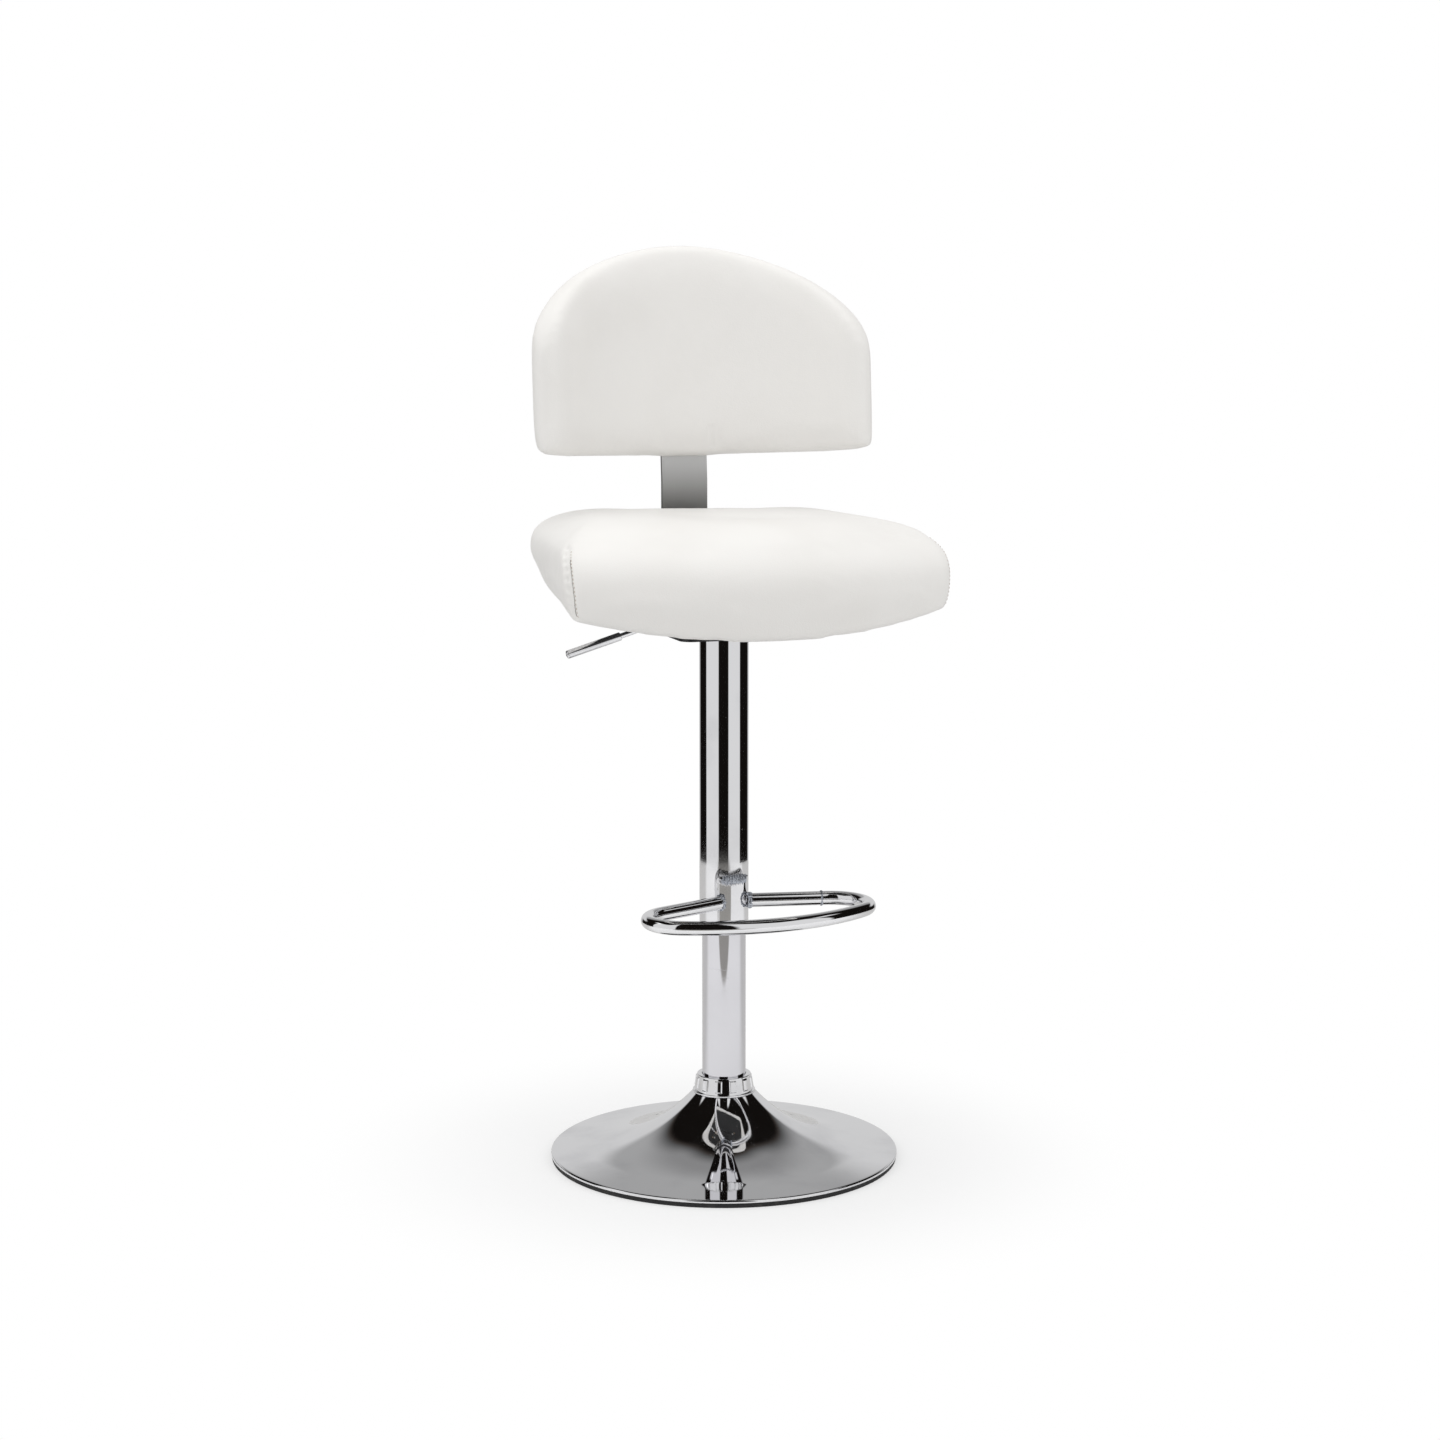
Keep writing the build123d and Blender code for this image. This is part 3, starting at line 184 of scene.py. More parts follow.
def arc(centre, radius, start, end, steps):
    """Points on a circle, at even angles in radians from start to end."""
    angle = np.linspace(start, end, steps)
    return np.stack([centre[0] + radius * np.cos(angle), centre[1] + radius * np.sin(angle)], -1)


def lined(*corners, steps=12):
    """Points at even distances along the straight runs between corners."""
    share = np.linspace(0, 1, steps)[:, None]
    ends = np.array(corners, float)
    return np.concatenate([first + (last - first) * share for first, last in zip(ends[:-1], ends[1:])])


def full_turn(count):
    """Even angles round a circle, in radians."""
    return np.linspace(0, 2 * np.pi, count, endpoint=False)


def unit(vectors):
    """Vectors of length 1 that point the same ways."""
    return vectors / np.linalg.norm(vectors, axis=-1, keepdims=True)


def to_circle(start, way, radius, side):
    """How far along a direction a circle round the origin is crossed: its near side (-1) or its far one (1)."""
    along = start @ way
    return side * math.sqrt(along**2 - start @ start + radius**2) - along


def walked(points):
    """Distance along a line of points, from the first to each."""
    return np.concatenate([[0], np.cumsum(np.linalg.norm(np.diff(points, axis=0), axis=1))])


def without_doubles(points, least=1e-6):
    """A line of points without those that lie on the one before."""
    return points[np.concatenate([[True], np.diff(walked(points)) > least])]


def round_column(radius, angle, height):
    """Points at a radius, an angle about the column and a height."""
    return np.stack([radius * np.cos(angle), radius * np.sin(angle), height + 0 * angle], -1)


def spun(profile, turns=256):
    """Surface of revolution: a point (r, z) of the profile goes round the Z axis at radius r."""
    return round_column(profile[:, 0], full_turn(turns)[:, None], profile[:, 1])


def grid_mesh(name, grid, round_rows=True, round_columns=True, crease=35):
    """Quads between neighbours on a grid of points, or on each of a stack of grids; a round direction closes
    on itself. Doubles merge, faces turn outwards, and edges bent by more than the crease, in degrees, stay
    sharp."""
    index = np.arange(grid.size // 3).reshape(-1, *grid.shape[-3:-1])
    index = np.concatenate([index, index[:, :1]], 1) if round_rows else index
    index = np.concatenate([index, index[..., :1]], 2) if round_columns else index
    corners = index[:, :-1, :-1], index[:, 1:, :-1], index[:, 1:, 1:], index[:, :-1, 1:]
    quads = np.stack(corners, -1).reshape(-1, 4)
    mesh = bpy.data.meshes.new(name)
    mesh.from_pydata(grid.reshape(-1, 3).tolist(), [], quads.tolist())
    build = bmesh.new()
    build.from_mesh(mesh)
    bmesh.ops.remove_doubles(build, verts=build.verts, dist=1e-6)
    bmesh.ops.recalc_face_normals(build, faces=build.faces)
    build.to_mesh(mesh)
    build.free()
    mesh.shade_smooth()
    mesh.set_sharp_from_angle(angle=math.radians(crease))
    return mesh


def placed(name, data):
    """A new object in the scene."""
    piece = bpy.data.objects.new(name, data)
    bpy.context.scene.collection.objects.link(piece)
    return piece


def fitted(name, grid, material, body, slot, *stands_for, **closing):
    """A finished piece: its grid and finish, the body it rides on, its slot (not used), the solids it replaces
    and how its mesh closes."""
    piece = placed(name, grid_mesh(name, grid, **closing))
    piece.data.materials.append(material)
    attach(piece, body)
    if stands_for:
        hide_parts(*stands_for)
    return piece


def chrome(name, haze_scale, rings=0.0, drawn=0.0):
    """Polished chrome: a clear mirror with patches of haze. Rings are lathe marks round Z, and drawn marks
    run along Z; both are reliefs in metres."""
    material, place = new_finish(name)
    haze = ramp(noise(place, haze_scale, 4), 0.45, 0.8)
    specks = ramp(noise(place, 420, 1), 0.74, 0.8)
    out = measured(stretched(place, 1, 1, 0), "LENGTH")
    round_marks = out.node("ShaderNodeTexNoise", {"noise_dimensions": "1D"}, {"W": out, "Scale": 700.0})
    long_marks = noise(stretched(place, 260, 260, 3), 1.0, 2)
    relief = round_marks * rings + long_marks * drawn + noise(place, 24, 1) * 0.00002
    return shade(material, place, {
        "Base Color": blended(haze, CHROME_TINT, CHROME_HAZE),
        "Metallic": 1.0,
        "Roughness": 0.03 + 0.07 * haze + 0.15 * specks,
        "Normal": bumped(relief, 1.0),
    })


inward = np.array((-math.cos(DISC_SLOPE), math.sin(DISC_SLOPE)))
upward = np.array((math.sin(DISC_SLOPE), math.cos(DISC_SLOPE)))
rim = np.array((BASE_RADIUS, RIM_TOP))
over_rim = rim + upward * TRUMPET_RADIUS
flare_centre = over_rim + inward * to_circle(over_rim - NECK, inward, TRUMPET_RADIUS, -1)
neck_angle = math.atan2(*(NECK - flare_centre)[::-1]) % (2 * math.pi)
disc_angle = math.atan2(*(-upward)[::-1]) % (2 * math.pi)
edge_centre = rim + inward * EDGE_ROUND * (1 - upward[0]) / upward[1] - upward * EDGE_ROUND
outer = np.concatenate([
    lined((NECK_BORE, NECK[1]), NECK, steps=4),
    arc(flare_centre, TRUMPET_RADIUS, neck_angle, disc_angle, 120),
    lined(flare_centre - upward * TRUMPET_RADIUS, edge_centre + upward * EDGE_ROUND, steps=20),
    arc(edge_centre, EDGE_ROUND, math.pi / 2 - DISC_SLOPE, 0, 16),
    lined((BASE_RADIUS, edge_centre[1]), (BASE_RADIUS, RIM_FOOT), steps=3),
    lined((BASE_RADIUS, RIM_FOOT), (BASE_RADIUS - BASE_SHEET, RIM_FOOT), steps=3),
])
inner_radius = TRUMPET_RADIUS + BASE_SHEET
inner_edge = edge_centre + upward * (EDGE_ROUND - BASE_SHEET)
inner = np.concatenate([
    lined(inner_edge, flare_centre - upward * inner_radius, steps=12),
    arc(flare_centre, inner_radius, disc_angle, neck_angle + SHORT_OF_NECK, 24),
    lined((NECK_BORE, NECK[1] - BASE_SHEET), (NECK_BORE, NECK[1]), steps=3),
])
base_profile = without_doubles(np.concatenate([outer, inner]))[:-1]
spun_chrome = chrome("spun chrome", 14, rings=0.000004)
fitted("spun_base", spun(base_profile), spun_chrome, "base", "chrome", "base_shell")

# Ring lip: the upper edge of the floor ring, a soft bead of the same rubber that the weight of the stool
# presses up against the rolled edge of the chrome.
LIP_INSET = 0.0012
LIP_HEIGHT = 0.0051
LIP_RADIUS = 0.001
lip_profile = arc((BASE_RADIUS - LIP_INSET, LIP_HEIGHT), LIP_RADIUS, 0, 2 * math.pi, 17)[:-1]
fitted("ring_lip", spun(lip_profile), rubber, "base", "rubber_black")

# Ballast, socket and the works inside the column: cast iron, turned steel and moulded plastic, as they
# come from the tool, since nobody sees them.
iron, place = new_finish("sand cast iron")
sand = noise(place, 350, 5)
rust = ramp(noise(place, 22, 5), 0.58, 0.72)
shade(iron, place, {
    "Base Color": blended(rust, (0.055, 0.055, 0.06), (0.12, 0.06, 0.035)),
    "Metallic": 0.5 - 0.4 * rust,
    "Roughness": 0.68 + 0.2 * sand,
    "Normal": bumped(sand, 0.0006),
})
dress(iron, "base_ballast")
turned, place = new_finish("turned steel")
grooves = noise(stretched(place, 40, 40, 1800), 1.0, 1)
stain = ramp(noise(place, 70, 4), 0.5, 0.8)
shade(turned, place, {
    "Base Color": blended(stain, (0.5, 0.5, 0.51), (0.34, 0.33, 0.31)),
    "Metallic": 1.0,
    "Roughness": 0.26 + 0.2 * grooves,
    "Normal": bumped(grooves, 0.00003),
})
dress(turned, "column_socket", "bearing_lower_race", "bearing_balls", "bearing_upper_race", "piston_rod",
      "rod_clip", "piston_head", "valve_pin", "seat_hub", "lever_pin", "tee_nuts")
moulded, place = new_finish("moulded plastic")
spark = noise(place, 1400, 2)
shade(moulded, place, {
    "Base Color": blended(noise(place, 30, 2), (0.014, 0.014, 0.015), (0.026, 0.026, 0.027)),
    "Roughness": 0.48 + 0.16 * spark,
    "Normal": bumped(spark, 0.00005),
})
dress(moulded, "guide_bush", "bearing_cage", "rod_seal", "valve_body", "cover_cap", "cover_bush")

# Neck collar: die-cast chromed ring that hides the joint of base and column. A rim at its foot sits on
# the trumpet, and raised pads stand round its wall.
COLLAR_FOOT = 0.077
COLLAR_RIM = 0.0025
COLLAR_TOP = 0.098
COLLAR_WALL_RADII = (0.0336, 0.031)
COLLAR_LIP = 0.0008
BORE_CLEAR = 0.002
PADS = 12
PAD_HALF_ARC = math.radians(6.5)
PAD_RAISE = 0.0012
PAD_HEIGHTS = (0.0825, 0.095)
PAD_SOFT = 0.0007


def step(value, low, high):
    """Smooth step of an array: 0 below low, 1 above high."""
    share = np.clip((value - low) / (high - low), 0, 1)
    return share * share * (3 - 2 * share)


wall_foot, wall_top = COLLAR_WALL_RADII
collar_profile = without_doubles(np.concatenate([
    lined((NECK_BORE, COLLAR_FOOT), (NECK[0] - COLLAR_LIP, COLLAR_FOOT), steps=4),
    arc((NECK[0] - COLLAR_LIP, COLLAR_FOOT + COLLAR_LIP), COLLAR_LIP, -math.pi / 2, 0, 6),
    arc((NECK[0] - COLLAR_LIP, COLLAR_FOOT + COLLAR_RIM - COLLAR_LIP), COLLAR_LIP, 0, math.pi / 2, 6),
    lined((wall_foot, COLLAR_FOOT + COLLAR_RIM), (wall_top, COLLAR_TOP - COLLAR_LIP), steps=70),
    arc((wall_top - COLLAR_LIP, COLLAR_TOP - COLLAR_LIP), COLLAR_LIP, 0, math.pi / 2, 6),
    lined((wall_top - COLLAR_LIP, COLLAR_TOP), (NECK_BORE, COLLAR_TOP), (NECK_BORE, COLLAR_FOOT), steps=4),
]))[:-1]
collar_grid = spun(collar_profile, 720)
bearing = np.arctan2(collar_grid[..., 1], collar_grid[..., 0])
off_pad = np.abs((bearing + np.pi / PADS) % (2 * np.pi / PADS) - np.pi / PADS)
wall_radius = np.hypot(collar_grid[..., 0], collar_grid[..., 1])
side_gap = (PAD_HALF_ARC - off_pad) * wall_radius
end_gap = np.minimum(collar_grid[..., 2] - PAD_HEIGHTS[0], PAD_HEIGHTS[1] - collar_grid[..., 2])
on_wall = wall_radius > NECK_BORE + BORE_CLEAR
raised = PAD_RAISE * step(np.minimum(side_gap, end_gap), -PAD_SOFT, PAD_SOFT) * on_wall
collar_grid[..., :2] *= (1 + raised / wall_radius)[..., None]
fitted("collar", collar_grid, chrome("cast chrome", 40), "base", "chrome", "neck_collar")

# Column: drawn steel tube, ground and chromed, wedged into the base. The sliding cover has rubbed faint
# rings into it, halfway up.
COLUMN_RADIUS = 0.025
COLUMN_BORE = 0.023
COLUMN_FOOT = 0.0075
COLUMN_TOP = 0.4405
SCUFF_HEIGHT = 0.222
SCUFF_BELOW = 0.03
SCUFF_ABOVE = 0.02


def tube(radius, bore, foot, top, lip=0.0006, rows=60):
    """Profile of a plain tube whose four edges are rounded by a lip."""
    return without_doubles(np.concatenate([
        lined((radius, foot + lip), (radius, top - lip), steps=rows),
        arc((radius - lip, top - lip), lip, 0, math.pi / 2, 5),
        arc((bore + lip, top - lip), lip, math.pi / 2, math.pi, 5),
        lined((bore, top - lip), (bore, foot + lip), steps=4),
        arc((bore + lip, foot + lip), lip, math.pi, 1.5 * math.pi, 5),
        arc((radius - lip, foot + lip), lip, -math.pi / 2, 0, 5),
    ]))[:-1]


rubbed, place = new_finish("rubbed chrome")
haze = ramp(noise(place, 12, 4), 0.4, 0.8)
height = height_of(place)
scuffed = ramp(height, SCUFF_HEIGHT - SCUFF_BELOW, SCUFF_HEIGHT)
scuffed = scuffed * fall(height, SCUFF_HEIGHT, SCUFF_HEIGHT + SCUFF_ABOVE)
scratches = ramp(noise(stretched(place, 30, 30, 900), 1.0, 3), 0.56, 0.7) * scuffed
shade(rubbed, place, {
    "Base Color": blended(haze, (0.75, 0.745, 0.775), (0.7, 0.695, 0.725)),
    "Metallic": 1.0,
    "Roughness": 0.035 + 0.05 * haze + 0.25 * scratches,
    "Normal": bumped(noise(stretched(place, 120, 120, 2), 1.0, 2), 0.000012),
})
column_profile = tube(COLUMN_RADIUS, COLUMN_BORE, COLUMN_FOOT, COLUMN_TOP)
fitted("column", spun(column_profile, 128), rubbed, "base", "chrome", "column_tube")

# Pressure tube of the gas spring, seat plate and lever bracket: steel under sprayed black lacquer with a
# slight orange peel. The tube is hidden by the cover, and the plate shows only from below.
lacquer, place = new_finish("black lacquer")
orange_peel = noise(place, 300, 2)
shade(lacquer, place, {
    "Base Color": blended(ramp(noise(place, 45, 3), 0.4, 0.8), (0.016, 0.016, 0.017), (0.03, 0.03, 0.031)),
    "Roughness": 0.32 + 0.12 * orange_peel,
    "Normal": bumped(orange_peel, 0.00006),
})
dress(lacquer, "pressure_tube", "seat_plate", "lever_bracket")

# Cover tube: wider drawn tube, polished along its length and chromed. It hangs under the seat, telescopes
# down over the column and carries the footrest.
COVER_RADIUS = 0.028
COVER_BORE = 0.0265
COVER_FOOT = 0.2705
COVER_TOP = 0.6045
drawn_chrome = chrome("drawn chrome", 16, drawn=0.000012)
cover_profile = tube(COVER_RADIUS, COVER_BORE, COVER_FOOT, COVER_TOP)
fitted("cover", spun(cover_profile, 128), drawn_chrome, "seat", "chrome", "cover_tube")

# Saddle: pressed steel plate bent to the cover tube, its edges dressed round before chroming, with the
# ends of the footrest welded against its sides.
FOOTREST_TURN = math.radians(6.5)
SADDLE_FRONT = FOOTREST_TURN - math.pi / 2
SADDLE_HALF_ANGLE = math.radians(38)
SADDLE_HEIGHTS = (0.270, 0.334)
SADDLE_THICKNESS = 0.003
SADDLE_EDGE = 0.0016
SADDLE_SINK = 0.0002


def eased(count):
    """Shares from -1 to 1, closer together towards both ends: the sine of even angles."""
    return np.sin(np.linspace(-np.pi / 2, np.pi / 2, count))


across = SADDLE_HALF_ANGLE * eased(90)
upright = np.mean(SADDLE_HEIGHTS) + np.ptp(SADDLE_HEIGHTS) / 2 * eased(70)
across, upright = np.meshgrid(across, upright, indexing="ij")
to_side = (SADDLE_HALF_ANGLE - np.abs(across)) * COVER_RADIUS
to_end = np.minimum(upright - SADDLE_HEIGHTS[0], SADDLE_HEIGHTS[1] - upright)
to_edge = np.clip(np.minimum(to_side, to_end) / SADDLE_EDGE, 0, 1)
saddle_radius = COVER_RADIUS + SADDLE_THICKNESS * np.sqrt(1 - (1 - to_edge) ** 2)
saddle_face = round_column(saddle_radius, SADDLE_FRONT + across, upright)
saddle_back = round_column(COVER_RADIUS - SADDLE_SINK + 0 * across, SADDLE_FRONT + across, upright)
saddle_grid = np.concatenate([saddle_face, saddle_back[:, ::-1]], 1)
fitted("saddle", saddle_grid, drawn_chrome, "seat", "chrome", "footrest_saddle", round_rows=False)

# Footrest: one length of round tube bent to a D, its ends cut to the saddle and welded there, and chromed
# whole with saddle and cover.
FOOTREST_HEIGHT = 0.305
FOOTREST_TUBE = 0.008
FOOTREST_REACH = 0.160
ARM_SWEEP = math.radians(17.2)
ARM_SETBACK = 0.0234
ARM_START = 0.0165
BEND_RADIUS = 0.041
FRONT_RADIUS = 0.222
END_ROUND = 0.003

arm_way = np.array((math.cos(ARM_SWEEP), -math.sin(ARM_SWEEP)))
arm_out = np.array((-math.sin(ARM_SWEEP), -math.cos(ARM_SWEEP)))
arm_root = np.array((0, -ARM_SETBACK))
front_centre = np.array((0, FRONT_RADIUS - FOOTREST_REACH))
bend_line = arm_root + arm_out * BEND_RADIUS - front_centre
arm_start = arm_root + arm_way * (ARM_START / arm_way[0])
bend_start = arm_root + arm_way * to_circle(bend_line, arm_way, FRONT_RADIUS - BEND_RADIUS, 1)
bend_centre = bend_start + arm_out * BEND_RADIUS
front_angle = math.atan2(*(bend_centre - front_centre)[::-1])
half_path = without_doubles(np.concatenate([
    lined(arm_start, bend_start, steps=40),
    arc(bend_centre, BEND_RADIUS, math.pi / 2 - ARM_SWEEP, front_angle, 60),
    arc(front_centre, FRONT_RADIUS, front_angle, -math.pi / 2, 60),
]), 1e-5)
flat_path = np.concatenate([half_path, (half_path * (-1, 1))[-2::-1]])


def at_height(flat, height):
    """Level points, lifted to one height or to a height each."""
    return np.concatenate([flat, np.broadcast_to(height, (*flat.shape[:-1], 1))], -1)


def on_footrest(flat):
    """Points of the footrest's own level plane, turned about the column to where the footrest stands."""
    turn = np.array(((math.cos(FOOTREST_TURN), math.sin(FOOTREST_TURN)),
                     (-math.sin(FOOTREST_TURN), math.cos(FOOTREST_TURN))))
    return at_height(flat @ turn, FOOTREST_HEIGHT)


def carried(path, radius, sides=48):
    """Tube along a level path: at each point a circle stands square to the path, of a radius given there."""
    sideways = np.cross(unit(np.gradient(path, axis=0)), (0, 0, 1))
    angle = full_turn(sides)
    ring = sideways[:, None] * np.cos(angle)[:, None] + np.array((0, 0, 1)) * np.sin(angle)[:, None]
    return path[:, None] + ring * np.reshape(radius, (-1, 1, 1))


def rounded_ends(path, radius, reach):
    """Radius along a path that closes in a quarter ellipse over the reach at both ends."""
    along = walked(path)
    from_end = np.clip(np.minimum(along, along[-1] - along) / reach, 0, 1)
    return radius * np.sqrt(1 - (1 - from_end) ** 2)


def tip(path):
    """Points from the start of a path on along its first run, closer together the nearer to the start."""
    steps = END_ROUND * (1 - np.cos(np.linspace(0, np.pi / 2, 10)))[:, None]
    return path[0] + unit(path[1] - path[0]) * steps


footrest_path = on_footrest(flat_path)
footrest_path = np.concatenate([tip(footrest_path), footrest_path[2:-2], tip(footrest_path[::-1])[::-1]])
footrest_grid = carried(footrest_path, rounded_ends(footrest_path, FOOTREST_TUBE, END_ROUND))
fitted("footrest", footrest_grid, drawn_chrome, "seat", "chrome", "footrest_ring", round_rows=False)

# Welds: a rippled bead along the top of the saddle and beads round the footrest's ends and its butt joint,
# brushed but not ground, and plated over. Heat has left them bluish and dull.
BEAD_HALF_ARC = math.radians(33)
BEAD_MIDDLE = (0.0296, 0.3296)
BEAD_HALF_SIZE = (0.0026, 0.0052)
BEAD_WANDER = 0.0006
BEAD_WAVES = (0.13, 38, 0.4), (0.08, 23, 1.7), (0.07, 61, 0.2)
RING_WAVES = (0.22, 9, 0.3), (0.16, 17, 1.1), (0.1, 26, 2.0)
RING_STRETCH = 1.3
ARM_WELD_AWAY = 0.0022
ARM_WELD = (0.0072, 0.0019)
BUTT_WELD_AWAY = 0.006
BUTT_WELD = (0.0079, 0.0009)
weld, place = new_finish("plated weld")
scale_marks = noise(place, 380, 4)
shade(weld, place, {
    "Base Color": blended(scale_marks, (0.34, 0.37, 0.43), (0.62, 0.64, 0.68)),
    "Metallic": 1.0,
    "Roughness": 0.16 + 0.28 * scale_marks,
    "Normal": bumped(scale_marks, 0.0005),
})


def ripples(angle, *waves):
    """Sum of sines: each wave is a height, how many times it goes round, and where it starts."""
    return sum(size * np.sin(times * angle + start) for size, times, start in waves)


bead_share = np.linspace(-1, 1, 220)
bead_angle = SADDLE_FRONT + BEAD_HALF_ARC * bead_share
section = full_turn(28)
bead_size = np.sqrt(1 - bead_share**8) * (1 + ripples(bead_share, *BEAD_WAVES))
bead_radius = BEAD_MIDDLE[0] + BEAD_HALF_SIZE[0] * bead_size[:, None] * np.cos(section)
bead_height = BEAD_MIDDLE[1] + BEAD_HALF_SIZE[1] * bead_size[:, None] * np.sin(section)
bead_height += BEAD_WANDER * ripples(bead_share, (1, 31, 0.0))[:, None] * np.cos(section)
bead_grid = round_column(bead_radius, bead_angle[:, None] + 0 * section, bead_height)
fitted("saddle_weld", bead_grid, weld, "seat", "chrome", round_rows=False)


def ring_weld(name, flat, way, major, minor):
    """Bead round a tube: a ring about the tube's line whose thickness ripples as it goes round."""
    round_tube = full_turn(96)
    thick = minor * (1 + ripples(round_tube, *RING_WAVES))
    out = major + thick[:, None] * np.cos(section)
    along = thick[:, None] * np.sin(section) * RING_STRETCH
    point = on_footrest(flat[None])[0]
    way = on_footrest(way[None])[0] * (1, 1, 0)
    side = np.cross(way, (0, 0, 1))
    grid = point + along[..., None] * way + (out * np.cos(round_tube)[:, None])[..., None] * side
    grid[..., 2] += out * np.sin(round_tube)[:, None]
    fitted(name, grid, weld, "seat", "chrome")


for name, side in (("arm_weld_right", (1, 1)), ("arm_weld_left", (-1, 1))):
    ring_weld(name, (arm_start + arm_way * ARM_WELD_AWAY) * side, arm_way * side, *ARM_WELD)
ring_weld("butt_weld", bend_start - arm_way * BUTT_WELD_AWAY, arm_way, *BUTT_WELD)

# Release lever: bent steel rod, chromed, that pivots on a pin under the seat plate. A thicker turned grip is
# pressed on its end.
LEVER_HEIGHT = 0.619
LEVER_BEND = -0.0907
LEVER_DROOP = math.radians(16.7)
LEVER_RUN = 0.0974
GRIP_LENGTH = 0.065
GRIP_RADIUS = 0.0048
GRIP_EDGE = 0.0009
GRIP_DISH = 0.0004
ROD_RADIUS = 0.003

dress(drawn_chrome, "lever_rod")
grip_profile = without_doubles(np.concatenate([
    lined((ROD_RADIUS, 0), (GRIP_RADIUS - GRIP_EDGE, 0), steps=4),
    arc((GRIP_RADIUS - GRIP_EDGE, GRIP_EDGE), GRIP_EDGE, -math.pi / 2, 0, 6),
    lined((GRIP_RADIUS, GRIP_EDGE), (GRIP_RADIUS, GRIP_LENGTH - 2 * GRIP_EDGE), steps=24),
    arc((GRIP_RADIUS - 2 * GRIP_EDGE, GRIP_LENGTH - 2 * GRIP_EDGE), 2 * GRIP_EDGE, 0, math.pi / 2, 8),
    lined((GRIP_RADIUS - 2 * GRIP_EDGE, GRIP_LENGTH), (0, GRIP_LENGTH - GRIP_DISH), steps=6),
]))
tip_way = np.array((-math.cos(LEVER_DROOP), 0, -math.sin(LEVER_DROOP)))
grip_start = np.array((LEVER_BEND, 0, LEVER_HEIGHT)) + tip_way * (LEVER_RUN - GRIP_LENGTH)
lathe_grid = spun(grip_profile, 72)
grip_grid = grip_start + lathe_grid[..., 2:] * tip_way + lathe_grid[..., 1:2] * np.array((0, 1, 0))
grip_grid = grip_grid + lathe_grid[..., :1] * np.cross(tip_way, (0, 1, 0))
fitted("grip", grip_grid, drawn_chrome, "lever", "chrome", "lever_grip", round_columns=False)

# Boards and fasteners: beech veneers glued in a bent mould, one shell inside the seat and one inside the
# back. Zinc-plated bolts hold plate and bar to them.
plywood, place = new_finish("beech plywood")
grain = noise(stretched(place, 14, 160, 160), 1.0, 5)
plies = ramp(place.node("ShaderNodeTexWave", {"wave_type": "BANDS", "bands_direction": "Z"},
                        {"Vector": place, "Scale": 105.0, "Distortion": 0.4}), 0.4, 0.6)
shade(plywood, place, {
    "Base Color": blended(0.7 * grain + 0.3 * plies, (0.64, 0.47, 0.3), (0.42, 0.28, 0.16)),
    "Roughness": 0.6 + 0.15 * grain,
    "Normal": bumped(grain, 0.0002),
})
dress(plywood, "seat_pan", "back_board")
zinc, place = new_finish("zinc plating")
spangle = place.node("ShaderNodeTexVoronoi", {}, {"Vector": place, "Scale": 420.0})
shade(zinc, place, {
    "Base Color": blended(spangle, (0.62, 0.62, 0.58), (0.5, 0.51, 0.52)),
    "Metallic": 1.0,
    "Roughness": 0.28 + 0.14 * spangle,
    "Normal": bumped(spangle, 0.00006),
})
dress(zinc, "seat_bolts", "bar_bolts", "back_bolts")

# Back bar: flat steel strip bent up behind the seat, blasted and satin plated. Its grain runs along it, and
# its colour is painted darker towards the seat: painted shade.
BAR_BRIGHT = (0.67, 0.67, 0.665)
BAR_SHADED = (0.2, 0.2, 0.195)
BAR_SHADE_HEIGHTS = (0.735, 0.806)
satin, place = new_finish("satin plated strip")
strip_grain = noise(stretched(place, 900, 30, 6), 1.0, 3)
# Painted shade: the base colour goes from the bright tone at the top to a dark tone near the seat.
shade(satin, place, {
    "Base Color": blended(fall(height_of(place), *BAR_SHADE_HEIGHTS), BAR_BRIGHT, BAR_SHADED),
    "Metallic": 1.0,
    "Roughness": 0.34 + 0.14 * strip_grain,
    "Normal": bumped(strip_grain, 0.00004),
})
dress(satin, "back_bar")

# Seat cushion: moulded foam on the bowed board under one sheet of white coated cloth. The cover is pulled
# over a rolled edge, drawn in below it, wrapped round the board and closed at the front corners by darts.
SEAT_TOP = 0.743
SEAT_LIP = 0.6247
SEAT_WRAP = 0.0035
SEAT_FRONT = 0.195
SEAT_BOW = 0.052
SEAT_REAR = 0.1386
SEAT_HALF_FRONT = 0.223
SEAT_HALF_REAR = 0.193
SEAT_CORNERS = np.array((0.028, 0.046))
FOOT_CORNERS = np.array((0.010, 0.076))
WIDEST = np.array((0.669, 0.698, 0.689, 0.698))
DRAW_IN = np.array((0.007, 0.033, 0.0135, 0.053))
DRAW_IN_CURVE = 1.3
ROLL_IN = np.array((0.124, 0.026, 0.0945, 0.078))
ROLL_CURVE = np.array((0.87, 0.6, 0.6, 0.6))
CORNER_EASE = 0.2
BOARD_BOW = 0.940
BOARD_INSET = 0.012
BAR_SLOT = 0.0285
SEAT_MIDDLE = np.array((0, -0.03))
SEAT_DISH = 0.0015
SEAT_LEAN = 0.016
RIM_SPARE = 0.0017
RIM_SHARES = np.array((0, 0, 0.3, 0.6, 0.9))
SLOT_EASE = 0.003
SLOT_RUN = 0.05
SLOT_LIFT = 0.007
UNDER_LIFT = 0.003
EDGE_TURN = 0.003
EDGE_LEAST = 0.0015
INNERMOST = 0.02
SEAT_SLACK = -0.0024
SEAT_SWELL = 0.002
STAPLED = 0.008
COVER_PRESSURE = 4.0
COVER_FRAMES = 20
COVER_SMOOTHINGS = 10
FRONT_STEPS, CORNER_STEPS = 60, 21


